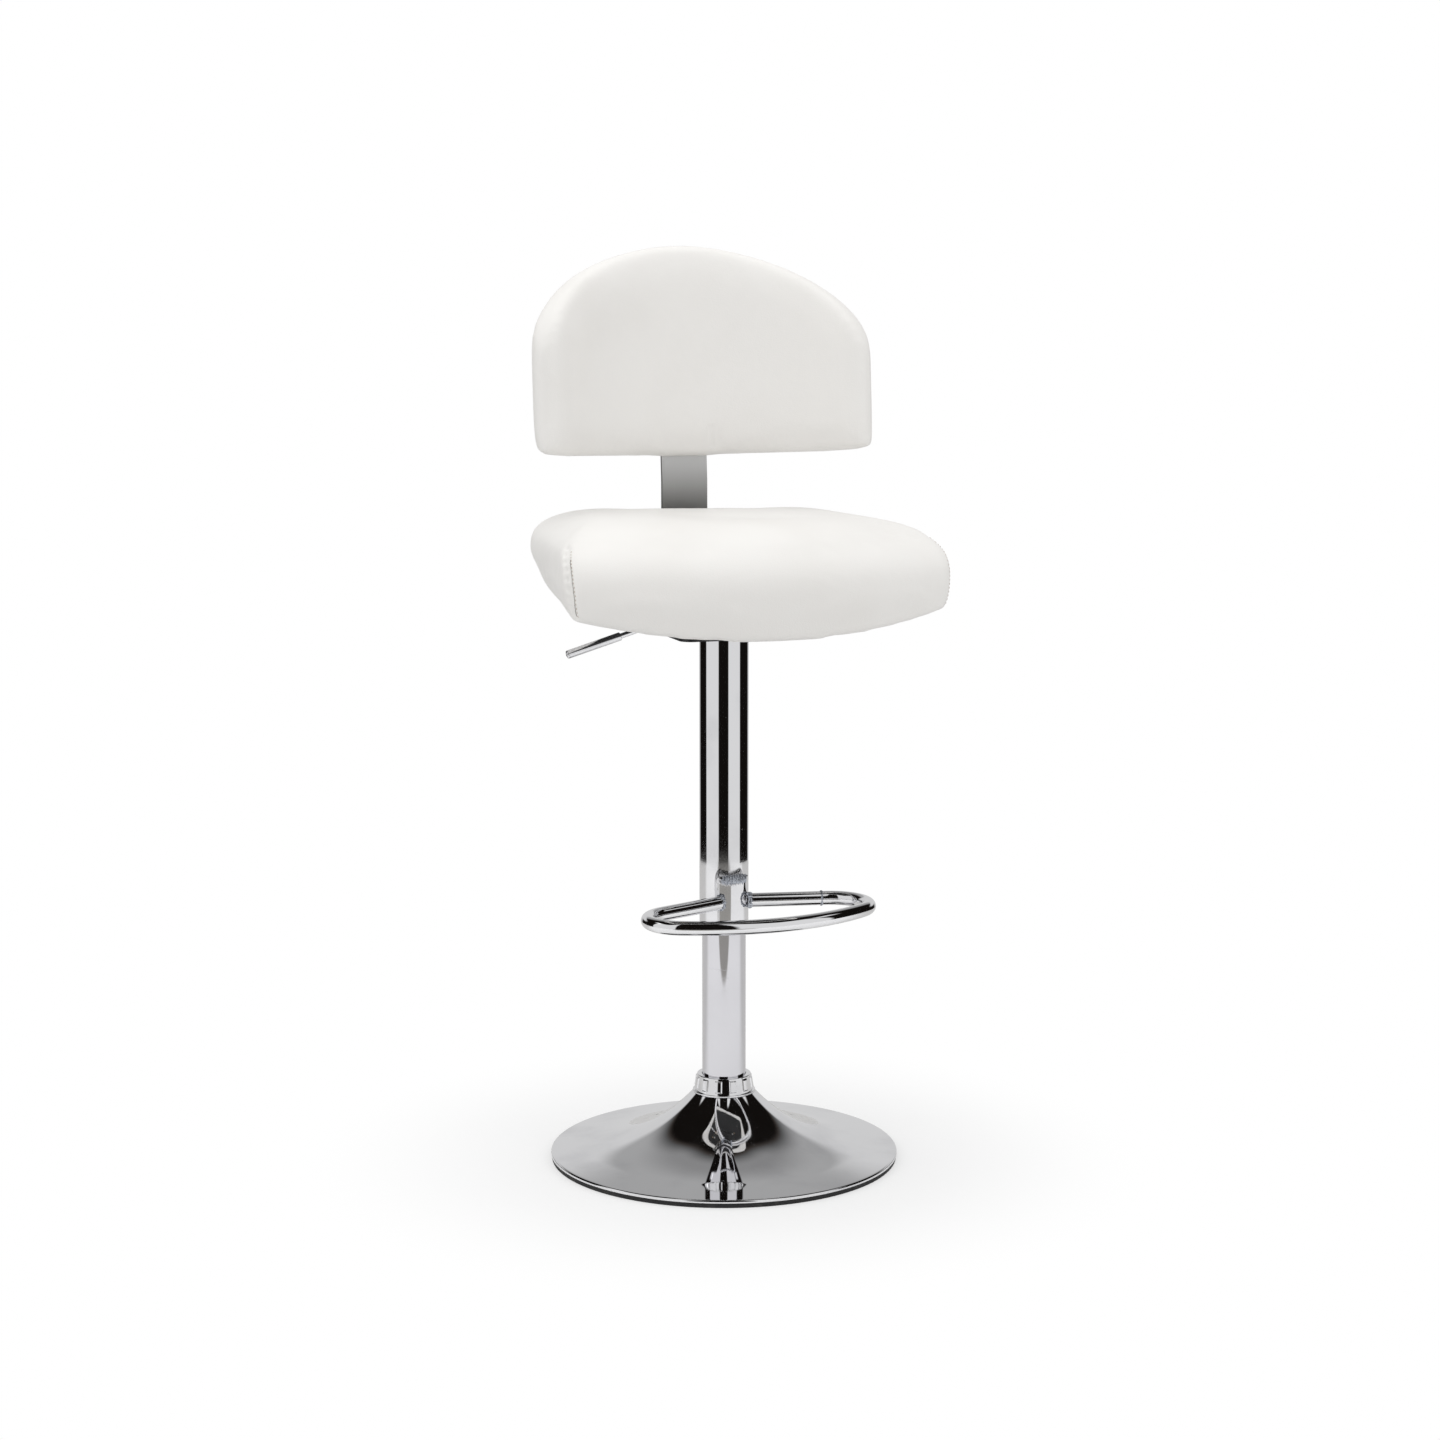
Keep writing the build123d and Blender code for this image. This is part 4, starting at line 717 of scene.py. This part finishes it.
def seat_outline(insets, corners):
    """Seat from above, set in at front, rear and both ends of its sides: an arc across the front, straight
    sides and rear, rounded corners. It starts and ends at the middle of the front."""
    front, rear = SEAT_FRONT - insets[0], SEAT_REAR - insets[1]
    ahead = np.array((SEAT_HALF_FRONT - insets[2], SEAT_BOW - front))
    behind = np.array((SEAT_HALF_REAR - insets[3], rear))
    front_radius = (ahead[0] ** 2 + SEAT_BOW**2) / (2 * SEAT_BOW)
    front_centre = np.array((0, front_radius - front))
    back = unit(behind - ahead)
    inwards = np.array((-back[1], back[0]))
    corner = ahead + inwards * corners[0]
    corner = corner + back * to_circle(corner - front_centre, back, front_radius - corners[0], -1)
    front_end = math.atan2(*(corner - front_centre)[::-1])
    side_angle = math.atan2(*(-inwards)[::-1])
    slant = math.atan2(-back[0], back[1])
    rear_reach = corners[1] * math.tan((math.pi / 2 - slant) / 2)
    rear_corner = behind + np.array((-rear_reach, -corners[1]))
    half = np.concatenate([
        arc(front_centre, front_radius, -math.pi / 2, front_end, FRONT_STEPS),
        arc(corner, corners[0], front_end, side_angle, CORNER_STEPS),
        lined(corner - inwards * corners[0], rear_corner - inwards * corners[1], steps=40),
        arc(rear_corner, corners[1], side_angle, math.pi / 2, 24),
        lined(rear_corner + (0, corners[1]), (0, rear), steps=20),
    ])
    return np.concatenate([half, (half * (-1, 1))[-2:0:-1]])


def bowed(across):
    """Height of the bowed board's underside at a distance from the middle."""
    return SEAT_LIP + BOARD_BOW - np.sqrt(BOARD_BOW**2 - across**2)


def seat_insets(height):
    """Insets of front, rear and both ends of the sides at a height: below its widest level each is drawn in
    by a power of the depth, above it each rolls in as a cosine while a power of the sine rises."""
    below = np.maximum(WIDEST - height, 0) / (WIDEST - SEAT_LIP + SEAT_WRAP)
    above = np.clip((height - WIDEST) / (SEAT_TOP - WIDEST), 0, 1) ** (1 / ROLL_CURVE)
    return DRAW_IN * below**DRAW_IN_CURVE + ROLL_IN * (1 - np.sqrt(1 - above**2))


def seat_level(height, slack):
    """Outline of the seat at a height: its corners tighten towards the foot and over the roll, and the slack
    grows from none at the board's edge to all of it at the front's widest level."""
    low = max(WIDEST[1] - height, 0) / (WIDEST[1] - SEAT_LIP + SEAT_WRAP)
    insets = seat_insets(height)
    rolled = np.where(height > WIDEST[1], insets[2:], 0)
    corners = SEAT_CORNERS + (FOOT_CORNERS - SEAT_CORNERS) * low**DRAW_IN_CURVE - CORNER_EASE * rolled
    return seat_outline(slack * step(height, SEAT_LIP, WIDEST[0]) + insets, corners)


def seat_form(slack, sink):
    """Closed form of the seat, outline by outline: out under the board, down and out round its edge, up the
    sides and over the roll, and in across the dished crown, which leans to one side. The slack is left off
    all round and the sink off the top. Also the number of the first row on the sides."""
    foot_height = SEAT_LIP - SEAT_WRAP
    levels = np.linspace(foot_height, WIDEST[1], 40)
    walls = np.stack([seat_level(height, slack) for height in levels])
    pocket = seat_outline(BOARD_INSET + DRAW_IN, FOOT_CORNERS - CORNER_EASE * BOARD_INSET)

    def side(height):
        """Outline at a height that is given for each point round it."""
        place = np.clip((height - foot_height) / (levels[1] - levels[0]), 0, len(levels) - 1.001)
        lower, point = place.astype(int), np.arange(len(height))
        share = (place - lower)[:, None]
        return walls[lower, point] * (1 - share) + walls[lower + 1, point] * share

    edge = side(bowed(walls[0][:, 0]) - SEAT_WRAP)
    edge = side(bowed(edge[:, 0]) - SEAT_WRAP)
    under = np.linspace(INNERMOST, 1, 14)[:, None, None] * (pocket - SEAT_MIDDLE) + SEAT_MIDDLE
    under = at_height(under, bowed(under[..., :1]) + UNDER_LIFT)
    rim = pocket + (edge - pocket) * RIM_SHARES[:, None, None]
    slot = step(BAR_SLOT + SLOT_EASE - np.abs(rim[..., 0]), 0, SLOT_EASE) * step(rim[..., 1], 0, SLOT_RUN)
    rim_height = bowed(rim[..., 0]) - SEAT_WRAP - RIM_SPARE + slot * (SEAT_WRAP + SLOT_LIFT)
    rim_height[0] += 0.5 * SEAT_WRAP
    rim = at_height(rim, rim_height[..., None])
    low = np.maximum(bowed(edge[:, 0]) - SEAT_WRAP + EDGE_TURN, rim_height[-1] + EDGE_LEAST)
    heights = low + np.linspace(0, 1, 34)[:, None] * (WIDEST[1] - low)
    sides = np.stack([at_height(side(height), height[:, None]) for height in heights])
    rises = WIDEST[1] + (SEAT_TOP - WIDEST[1]) * np.sin(np.linspace(0, np.pi / 2, 40)[1:]) ** ROLL_CURVE[1]
    rolls = np.stack([seat_level(height, slack) for height in rises])
    rises = rises - sink * step(rises, WIDEST[1], SEAT_TOP)
    rolls = at_height(rolls, rises[:, None, None])
    inner = np.linspace(1, INNERMOST, 16)[1:, None, None]
    crown = SEAT_MIDDLE + (rolls[-1][:, :2] - SEAT_MIDDLE) * inner
    crown = at_height(crown, rises[-1] - SEAT_DISH * (1 - inner**2) ** 2)
    form = np.concatenate([under, rim, sides, rolls, crown])
    form[..., 2] -= SEAT_LEAN * form[..., 0] * step(form[..., 2], WIDEST[0], SEAT_TOP)
    return form, len(under) + len(rim)


def capped(grid):
    """Grid closed at its first and last row by their middles."""
    ends = [np.repeat(row.mean(0, keepdims=True), grid.shape[1], 0)[None] for row in (grid[0], grid[-1])]
    return np.concatenate([ends[0], grid, ends[1]])


def evaluated(piece, name):
    """The piece's mesh with its modifiers, as a new mesh."""
    view = bpy.context.evaluated_depsgraph_get()
    mesh = bpy.data.meshes.new_from_object(piece.evaluated_get(view), depsgraph=view)
    mesh.name = name
    return mesh


def read_points(mesh, layer="vertices", key="co"):
    """Coordinates, or normals, of a mesh's vertices."""
    points = np.empty(len(mesh.vertices) * 3, np.float32)
    getattr(mesh, layer).foreach_get(key, points)
    return points.reshape(-1, 3).astype(float)


def write_points(mesh, points):
    """Moves a mesh's vertices."""
    mesh.vertices.foreach_set("co", points.ravel().astype(np.float32))
    mesh.update()


def stuffed(name, grid, held, cap, cell=0.0046):
    """Foam in a tight cover: the closed form is remeshed into even cells, blown up by cloth simulation with
    the held points fixed and no point moving further than the cap, then smoothed and divided once."""
    piece = placed(name, grid_mesh(name, capped(grid), round_rows=False))
    piece.modifiers.new("even", "REMESH").voxel_size = cell
    piece.data = evaluated(piece, name)
    piece.modifiers.clear()
    before = read_points(piece.data)
    fixed = piece.vertex_groups.new(name="held")
    fixed.add(np.flatnonzero(held(before)).tolist(), 1.0, "REPLACE")
    cloth = piece.modifiers.new("cover", "CLOTH")
    cloth.settings.vertex_group_mass = "held"
    cloth.settings.use_pressure = True
    cloth.settings.uniform_pressure_force = COVER_PRESSURE
    cloth.settings.effector_weights.gravity = 0.0
    cloth.point_cache.frame_start, cloth.point_cache.frame_end = 1, COVER_FRAMES
    for number in range(1, COVER_FRAMES + 1):
        bpy.context.scene.frame_set(number)
    moved = read_points(evaluated(piece, name)) - before
    piece.modifiers.clear()
    piece.vertex_groups.clear()
    bpy.context.scene.frame_set(1)
    length = np.linalg.norm(moved, axis=1)[:, None]
    write_points(piece.data, before + moved * np.minimum(1, cap / np.maximum(length, 1e-9)))
    even = piece.modifiers.new("even", "SMOOTH")
    even.factor, even.iterations = 0.5, COVER_SMOOTHINGS
    divided = piece.modifiers.new("divided", "SUBSURF")
    divided.levels = divided.render_levels = 1
    piece.data = evaluated(piece, name)
    piece.modifiers.clear()
    piece.data.shade_smooth()
    return piece


def cushion(piece, material):
    """Finish and body of a cushion."""
    piece.data.materials.append(material)
    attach(piece, "seat")


def on_board(points):
    """The part of the cover that is stapled round the board."""
    return points[:, 2] < bowed(points[:, 0]) + STAPLED


coated_cloth, place = new_finish("white coated cloth")
pebbles = place.node("ShaderNodeTexVoronoi", {"feature": "SMOOTH_F1"}, {"Vector": place, "Scale": 850.0})
creases = noise(place, 240, 4)
worn = ramp(noise(place, 7, 3), 0.35, 0.75)
shade(coated_cloth, place, {
    "Base Color": blended(worn, (0.80, 0.787, 0.765), (0.77, 0.755, 0.73)),
    "Roughness": 0.44 + 0.1 * pebbles - 0.05 * worn,
    "Specular IOR Level": 0.4,
    "Normal": bumped(pebbles * 0.6 + creases * 0.4, 0.00016),
})
seat_grid, side_row = seat_form(SEAT_SLACK, SEAT_SWELL)
seat = stuffed("seat", seat_grid, on_board, SEAT_SWELL)
cushion(seat, coated_cloth)
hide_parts("seat_cushion")

# Darts: the cover's front corners are cut and sewn from the lower edge up over the roll, and topstitched
# along the front, and the thread gathers the cloth behind the seam into dents. The shade in the seam's fold is
# a
# painted shadow: a thin dark cord laid along it.
DART_HEIGHTS = (0.6455, 0.7215)
DART_GROOVE = 0.0018
GROOVE_WIDTH = 0.0028
GROOVE_PITCH = 0.0015
DENT_DEPTH = 0.003
DENT_WIDTH = 0.0042
DENT_PITCH = 0.0085
DENT_BEHIND = np.array((0, 0.0075, 0))
SEAM_SHADOW_RADIUS = 0.0005
SEAM_SHADOW_PITCH = 0.0012
SEAM_SHADOW_POINTS = 56
STITCH_PITCH = 0.0044
STITCH_RADIUS = 0.00034
STITCH_ASIDE = 0.0032


def resampled(line, pitch):
    """Points along a line at an even distance."""
    along = walked(line)
    even = np.linspace(0, along[-1], int(along[-1] / pitch))
    return np.stack([np.interp(even, along, line[:, axis]) for axis in range(3)], -1)


def on_surface(piece, points):
    """Nearest points of a piece's surface, and the surface's normals there."""
    tree = BVHTree.FromObject(piece, bpy.context.evaluated_depsgraph_get())
    spots = [tree.find_nearest(point) for point in points]
    return np.array([spot[0] for spot in spots]), np.array([spot[1] for spot in spots])


def press(piece, marks, depth, width):
    """Presses a piece in round each mark by a bell of the distance to the nearest one."""
    points = read_points(piece.data)
    normals = read_points(piece.data, "vertex_normals", "vector")
    low, high = marks.min(0) - 4 * width, marks.max(0) + 4 * width
    near = np.flatnonzero(np.all((points > low) & (points < high), axis=1))
    gap = np.linalg.norm(points[near, None] - marks, axis=2).min(1)
    points[near] -= normals[near] * (depth * np.exp(-((gap / width) ** 2)))[:, None]
    write_points(piece.data, points)


def cord(path, normals, radius, sides=8):
    """Tube along a path on a surface, a circle round each point, closed to a point at both ends; it carries the
    painted shadow of the seam's fold.
    """
    side = unit(np.cross(np.gradient(path, axis=0), normals))
    angle = full_turn(sides)[:, None]
    thick = radius * np.concatenate([[0.02], np.ones(len(path) - 2), [0.02]])[:, None, None]
    return path[:, None] + thick * (np.cos(angle) * side[:, None] + np.sin(angle) * normals[:, None])


def stitches(pairs, radius):
    """Short capsules from the first to the second point of each pair, as a stack of grids."""
    first, second = pairs[:, 0], pairs[:, 1]
    along = unit(second - first)
    side = unit(np.cross(along, (0.3, 0.5, 0.81)))
    other = np.cross(along, side)
    share = np.array((0, 0.04, 0.15, 0.5, 0.85, 0.96, 1))
    thick = radius * np.array((0.05, 0.6, 1, 1.1, 1, 0.6, 0.05))
    angle = full_turn(6)
    spine = first[:, None] + (second - first)[:, None] * share[:, None]
    ring = np.cos(angle)[:, None] * side[:, None, None] + np.sin(angle)[:, None] * other[:, None, None]
    return spine[:, :, None] + ring * thick[:, None, None]


thread, place = new_finish("beige thread")
twist = noise(stretched(place, 900, 900, 2400), 1.0, 2)
shade(thread, place, {
    "Base Color": blended(twist, (0.33, 0.27, 0.2), (0.5, 0.43, 0.35)),
    "Roughness": 0.75 + 0.1 * twist,
    "Normal": bumped(twist, 0.0001),
})
# Painted shadow: the dark colour of the cords along the darts stands for the shade in the seam's fold.
seam_shadow_finish, place = new_finish("shaded fold")
depth = noise(place, 300, 2)
shade(seam_shadow_finish, place, {"Base Color": blended(depth, (0.2, 0.185, 0.17), (0.34, 0.32, 0.3)), "Roughness": 0.8})
dart_column = FRONT_STEPS + CORNER_STEPS // 2
stitch_pairs, seam_shadow_cords = [], []
for column in (dart_column, -dart_column):
    dart = seat_grid[side_row:, column]
    dart = dart[(dart[:, 2] > DART_HEIGHTS[0]) & (dart[:, 2] < DART_HEIGHTS[1])]
    dart = dart[np.concatenate([[True], np.diff(dart[:, 2]) > 0])]
    press(seat, on_surface(seat, resampled(dart, GROOVE_PITCH))[0], DART_GROOVE, GROOVE_WIDTH)
    press(seat, on_surface(seat, resampled(dart, DENT_PITCH)[1:] + DENT_BEHIND)[0], DENT_DEPTH, DENT_WIDTH)
    seam, normals = on_surface(seat, resampled(dart, SEAM_SHADOW_PITCH))
    seam_shadow_cords.append(cord(seam[:SEAM_SHADOW_POINTS], normals[:SEAM_SHADOW_POINTS], SEAM_SHADOW_RADIUS))
    sideways = unit(np.cross((dart - (*SEAT_MIDDLE, 0)) * (1, 1, 0), (0, 0, 1)))
    sideways *= STITCH_ASIDE * np.sign(-sideways[:, 1:2])
    row, normals = on_surface(seat, resampled(dart + sideways, STITCH_PITCH / 2))
    row = row + normals * STITCH_RADIUS * 0.4
    stitch_pairs.append(row[:len(row) // 2 * 2].reshape(-1, 2, 3))
stitch_grids = stitches(np.concatenate(stitch_pairs), STITCH_RADIUS)
fitted("dart_stitches", stitch_grids, thread, "seat", "white_leather", round_rows=False)
# The dark cords are a painted shadow of the seam's fold, not cloth or thread.
fitted("dart_seam_shadows", np.stack(seam_shadow_cords), seam_shadow_finish, "seat", "white_leather", round_rows=False)

# Dust cover: black spun-bonded cloth, cut away round plate and bar, pulled tight and stapled to the board's
# underside.
DUST_INSET = 0.013
DUST_DROP = 0.0004
PLATE_GAP = np.array((0.0905, 0.0505))
dust_cloth, place = new_finish("spun-bonded cloth")
dimples = place.node("ShaderNodeTexVoronoi", {}, {"Vector": place, "Scale": 520.0})
fibres = noise(place, 800, 4)
shade(dust_cloth, place, {
    "Base Color": blended(fibres, (0.014, 0.014, 0.015), (0.035, 0.035, 0.036)),
    "Roughness": 0.82 + 0.1 * fibres,
    "Normal": bumped(dimples, 0.0002),
})
dust_line = seat_outline(DUST_INSET + DRAW_IN, FOOT_CORNERS - CORNER_EASE * DUST_INSET)
dust_line = np.roll(dust_line, -(len(dust_line) // 2), axis=0)
dust_line = dust_line[(np.abs(dust_line[:, 0]) > BAR_SLOT) | (dust_line[:, 1] < 0)]
dust_ends = np.array((-BAR_SLOT, dust_line[0, 1])), np.array((BAR_SLOT, dust_line[-1, 1]))
dust_line = np.concatenate([dust_ends[:1], dust_line, dust_ends[1:]])
dust_aim = unit(dust_line)
hole = dust_aim * np.min(PLATE_GAP / np.maximum(np.abs(dust_aim), 1e-9), axis=1)[:, None]
beside_bar = np.sign(hole[:, 0]) * np.maximum(np.abs(hole[:, 0]), BAR_SLOT)
hole[:, 0] = np.where(hole[:, 1] > 0, beside_bar, hole[:, 0])
dust_grid = hole + (dust_line - hole) * np.linspace(0, 1, 24)[:, None, None]
dust_grid = at_height(dust_grid, bowed(dust_grid[..., :1]) - DUST_DROP)
dust_sheet = fitted("dust_sheet", dust_grid, dust_cloth, "seat", "dust_cloth", "dust_cover", round_rows=False,
                    round_columns=False)

# Back cushion: foam on a bent board in a tight cover of the seat's cloth, a D seen from the front and curved
# round the sitter. The bar runs up into its foot, and the cover has a short crease there.
BACK_HEIGHT = 0.246
BACK_SIDE_HEIGHT = 0.112
BACK_HALF_ARC = 0.224
BACK_BEND = 0.2437
BACK_ARCH = 1.76
BACK_THICKNESS = 0.044
BACK_LEAN = math.radians(4.7)
BACK_FOOT = np.array((0, 0.1434, 0.7966))
BACK_TIP_RISE = 0.005
BACK_TIP_ROUND = 0.026
BACK_TIP_CURVE = 6
BACK_FOOT_RAISE = 0.0033
BACK_SQUARENESS = 0.42
BACK_CROWN = 0.5
BACK_SLACK = -0.0022
BACK_SWELL = 0.0015
BAR_HOLD = (0.03, 0.82)
CREASE_ENDS = np.array(((0.0255, 0.1, 0.806), (0.0245, 0.1, 0.834)))
CREASE_DEPTH = 0.001
CREASE_WIDTH = 0.0023


def back_form(slack, sink):
    """Closed form of the pad, section by section round the bend: each section is a crowned upright oval as
    tall as the arch is there, and the sections close in a quarter ellipse at the tips. The slack is left off
    all round and the sink off both faces."""
    share = eased(160)[1:-1, None]
    turn = full_turn(200)
    arch = (1 - np.abs(share) ** BACK_ARCH) ** (1 / BACK_ARCH)
    top = BACK_SIDE_HEIGHT + (BACK_HEIGHT - BACK_SIDE_HEIGHT) * arch - slack
    foot = BACK_FOOT_RAISE + BACK_TIP_RISE * np.abs(share) ** BACK_TIP_CURVE
    from_tip = np.clip((1 - np.abs(share)) * BACK_HALF_ARC / BACK_TIP_ROUND, 0, 1)
    closing = np.sqrt(1 - (1 - from_tip) ** 2)
    upright = np.sign(np.sin(turn)) * np.abs(np.sin(turn)) ** BACK_SQUARENESS
    deep = (BACK_THICKNESS / 2 - sink) * closing * np.sign(np.cos(turn)) * np.abs(np.cos(turn)) ** BACK_CROWN
    height = (top + foot) / 2 + (top - foot) / 2 * upright
    angle = share * (BACK_HALF_ARC - slack) / BACK_BEND
    up = np.array((0, math.sin(BACK_LEAN), math.cos(BACK_LEAN)))
    ahead = np.array((0, -math.cos(BACK_LEAN), math.sin(BACK_LEAN)))
    inwards = np.cos(angle)[..., None] * ahead - np.sin(angle)[..., None] * np.array((1, 0, 0))
    return BACK_FOOT + ahead * BACK_BEND + inwards * (deep - BACK_BEND)[..., None] + height[..., None] * up


def on_bar(points):
    """The part of the pad that the bar holds."""
    return (np.abs(points[:, 0]) < BAR_HOLD[0]) & (points[:, 2] < BAR_HOLD[1])


back = stuffed("back", back_form(BACK_SLACK, BACK_SWELL), on_bar, BACK_SWELL)
press(back, on_surface(back, resampled(CREASE_ENDS, 0.001))[0], CREASE_DEPTH, CREASE_WIDTH)
cushion(back, coated_cloth)
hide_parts("back_cushion")

# Studio: pale paper with a dark mat towards the camera, and white all round for the camera itself. Behind
# the stool the paper carries a painted shade that only the mirrors see. The chrome sees a dark room with two
# tall soft boxes, a small one high up at each side and a paper sweep behind the stool, and lamps light the
# cloth from above and both sides.
VIEW_TURN = math.radians(18.5)
TO_CAMERA = (-math.sin(VIEW_TURN), -math.cos(VIEW_TURN), 0)
TO_RIGHT = (math.cos(VIEW_TURN), -math.sin(VIEW_TURN), 0)
FLOOR_HOLE = 0.0005
FLOOR_RADIUS = 1.75
FLOOR_PALE = (0.8, 0.8, 0.8)
FLOOR_MAT = (0.3, 0.29, 0.27)
FLOOR_SHADE_BEHIND = 0.46
MAT_AWAY = 1.75
MAT_RADIUS = 0.91
MAT_SOFT = 0.08
SHADOW_SHARE = 0.45
SHADOW_REACH = (0.2, 0.5)
LEFT_BOX = (-90, -25)
RIGHT_BOX = (21, 80)
BOX_LIGHT = 0.76
WALL_LIGHT = 0.006
WALL_TINT = (1, 0.82, 0.72)
SWEEP_LIGHT = (0.26, 54, 69), (0.13, 30, 52), (0.27, 20, 27)
CLOTH_FILL = (0.76, 0.2)


def light_path(place, ray):
    """1 for rays of the named kind."""
    return Field(place.tree, place.tree.nodes.new("ShaderNodeLightPath").outputs[ray])


paper, place = new_finish("pale studio paper")
from_mat = measured(place, "DISTANCE", [MAT_AWAY * share for share in TO_CAMERA])
mat = fall(from_mat, MAT_RADIUS - MAT_SOFT, MAT_RADIUS)
beyond = 0 - measured(place, "DOT_PRODUCT", TO_CAMERA)
# Painted shade: for mirror rays only, the paper behind the stool is painted darker.
dim = FLOOR_SHADE_BEHIND * ramp(beyond, -0.1, 0.3) * light_path(place, "Is Glossy Ray")
floor_tone = blended(mat.math("MAXIMUM", mat, dim), FLOOR_PALE, FLOOR_MAT)
shade(paper, place, {"Base Color": floor_tone, "Roughness": 0.9})
shader = paper.node_tree.nodes["Principled BSDF"]
faded = 1 - SHADOW_SHARE + SHADOW_SHARE * ramp(measured(place, "LENGTH"), *SHADOW_REACH)
faded = faded * light_path(place, "Is Camera Ray")
lit = Field(paper.node_tree, shader.outputs[0])
white = place.node("ShaderNodeEmission", {}, {"Color": (1, 1, 1, 1), "Strength": 1.0})
shown = place.node("ShaderNodeMixShader", {}, {0: faded, 1: lit, 2: white})
place.tree.links.new(shown.socket, paper.node_tree.nodes["Material Output"].inputs["Surface"])
floor_grid = spun(lined((FLOOR_HOLE, 0), (FLOOR_RADIUS, 0), steps=24), 96)
floor = placed("floor", grid_mesh("floor", floor_grid, round_columns=False))
floor.data.materials.append(paper)

world = bpy.data.worlds.new("studio")
bpy.context.scene.world = world
world.use_nodes = True
sky = Field(world.node_tree, world.node_tree.nodes.new("ShaderNodeTexCoord").outputs["Generated"])
to_camera, to_right = measured(sky, "DOT_PRODUCT", TO_CAMERA), measured(sky, "DOT_PRODUCT", TO_RIGHT)
aim = sky.math("ARCTAN2", to_right, to_camera) * math.degrees(1)
aside = aim.math("ABSOLUTE", aim)
rise = sky.math("ARCSINE", height_of(sky)) * math.degrees(1)


def window(value, low, high, soft):
    """1 between two angles and 0 outside, with soft edges."""
    return ramp(value, low - soft, low + soft) * fall(value, high - soft, high + soft)


box_top = rise + 25 * ramp(aside, 25, 60)
boxes = (window(aim, *LEFT_BOX, 2) + window(aim, *RIGHT_BOX, 2)) * fall(box_top, 70, 74)
corners = window(aside, 84, 104, 3) * window(rise, 38, 47, 1.5)
behind = ramp(aside + 20 * window(rise, 9, 23, 3), 138, 158)
room = BOX_LIGHT * (boxes + corners)
for light, low, high in SWEEP_LIGHT:
    room = room + behind * light * fall(rise, low, high)
seen_white = light_path(sky, "Is Camera Ray")
mirrored_room = light_path(sky, "Is Glossy Ray")
fill = CLOTH_FILL[0] + CLOTH_FILL[1] * height_of(sky)
unseen = mirrored_room * (WALL_LIGHT + room) + (1 - mirrored_room) * fill
dark_walls = mirrored_room * fall(room, 0, 0.1)
sky.fill(world.node_tree.nodes["Background"], {
    "Color": blended(dark_walls, (1, 1, 1), WALL_TINT),
    "Strength": seen_white + (1 - seen_white) * unseen,
})


def lamp(name, place, aim, size, power):
    """Square soft lamp at a place, facing a point; it lights the cloth and stays out of the mirrors."""
    light = bpy.data.lights.new(name, "AREA")
    light.shape, light.size, light.energy = "SQUARE", size, power
    holder = placed(name, light)
    holder.location = place
    holder.rotation_euler = (Vector(aim) - Vector(place)).to_track_quat("-Z", "Y").to_euler()
    holder.visible_glossy = False


lamp("overhead", (-0.3, 0.15, 3.0), (0, 0, 0.6), 1.8, 19)
lamp("left_box", (-2.4, -0.9, 1.5), (0, 0, 0.7), 1.4, 8)
lamp("right_box", (2.0, -2.0, 1.5), (0, 0, 0.7), 1.4, 11)

# Camera: a long lens a little above the seat, turned from the seat's front and tipped down. Its middle lies
# a few pixels beside the picture's.
CAMERA_PLACE = (-1.0312, -3.0821, 0.9989)
CAMERA_PITCH = math.radians(8.566)
CAMERA_LENS = 72.475
SENSOR_WIDTH = 36.0
PICTURE_SHIFT = -4 / 1440
lens = bpy.data.cameras.new("camera")
lens.lens = CAMERA_LENS
lens.sensor_width = SENSOR_WIDTH
lens.sensor_fit = "HORIZONTAL"
lens.shift_x = PICTURE_SHIFT
camera = placed("camera", lens)
camera.location = CAMERA_PLACE
camera.rotation_euler = (math.pi / 2 - CAMERA_PITCH, 0, -VIEW_TURN)
bpy.context.scene.camera = camera
bpy.context.scene.view_settings.view_transform = "Standard"
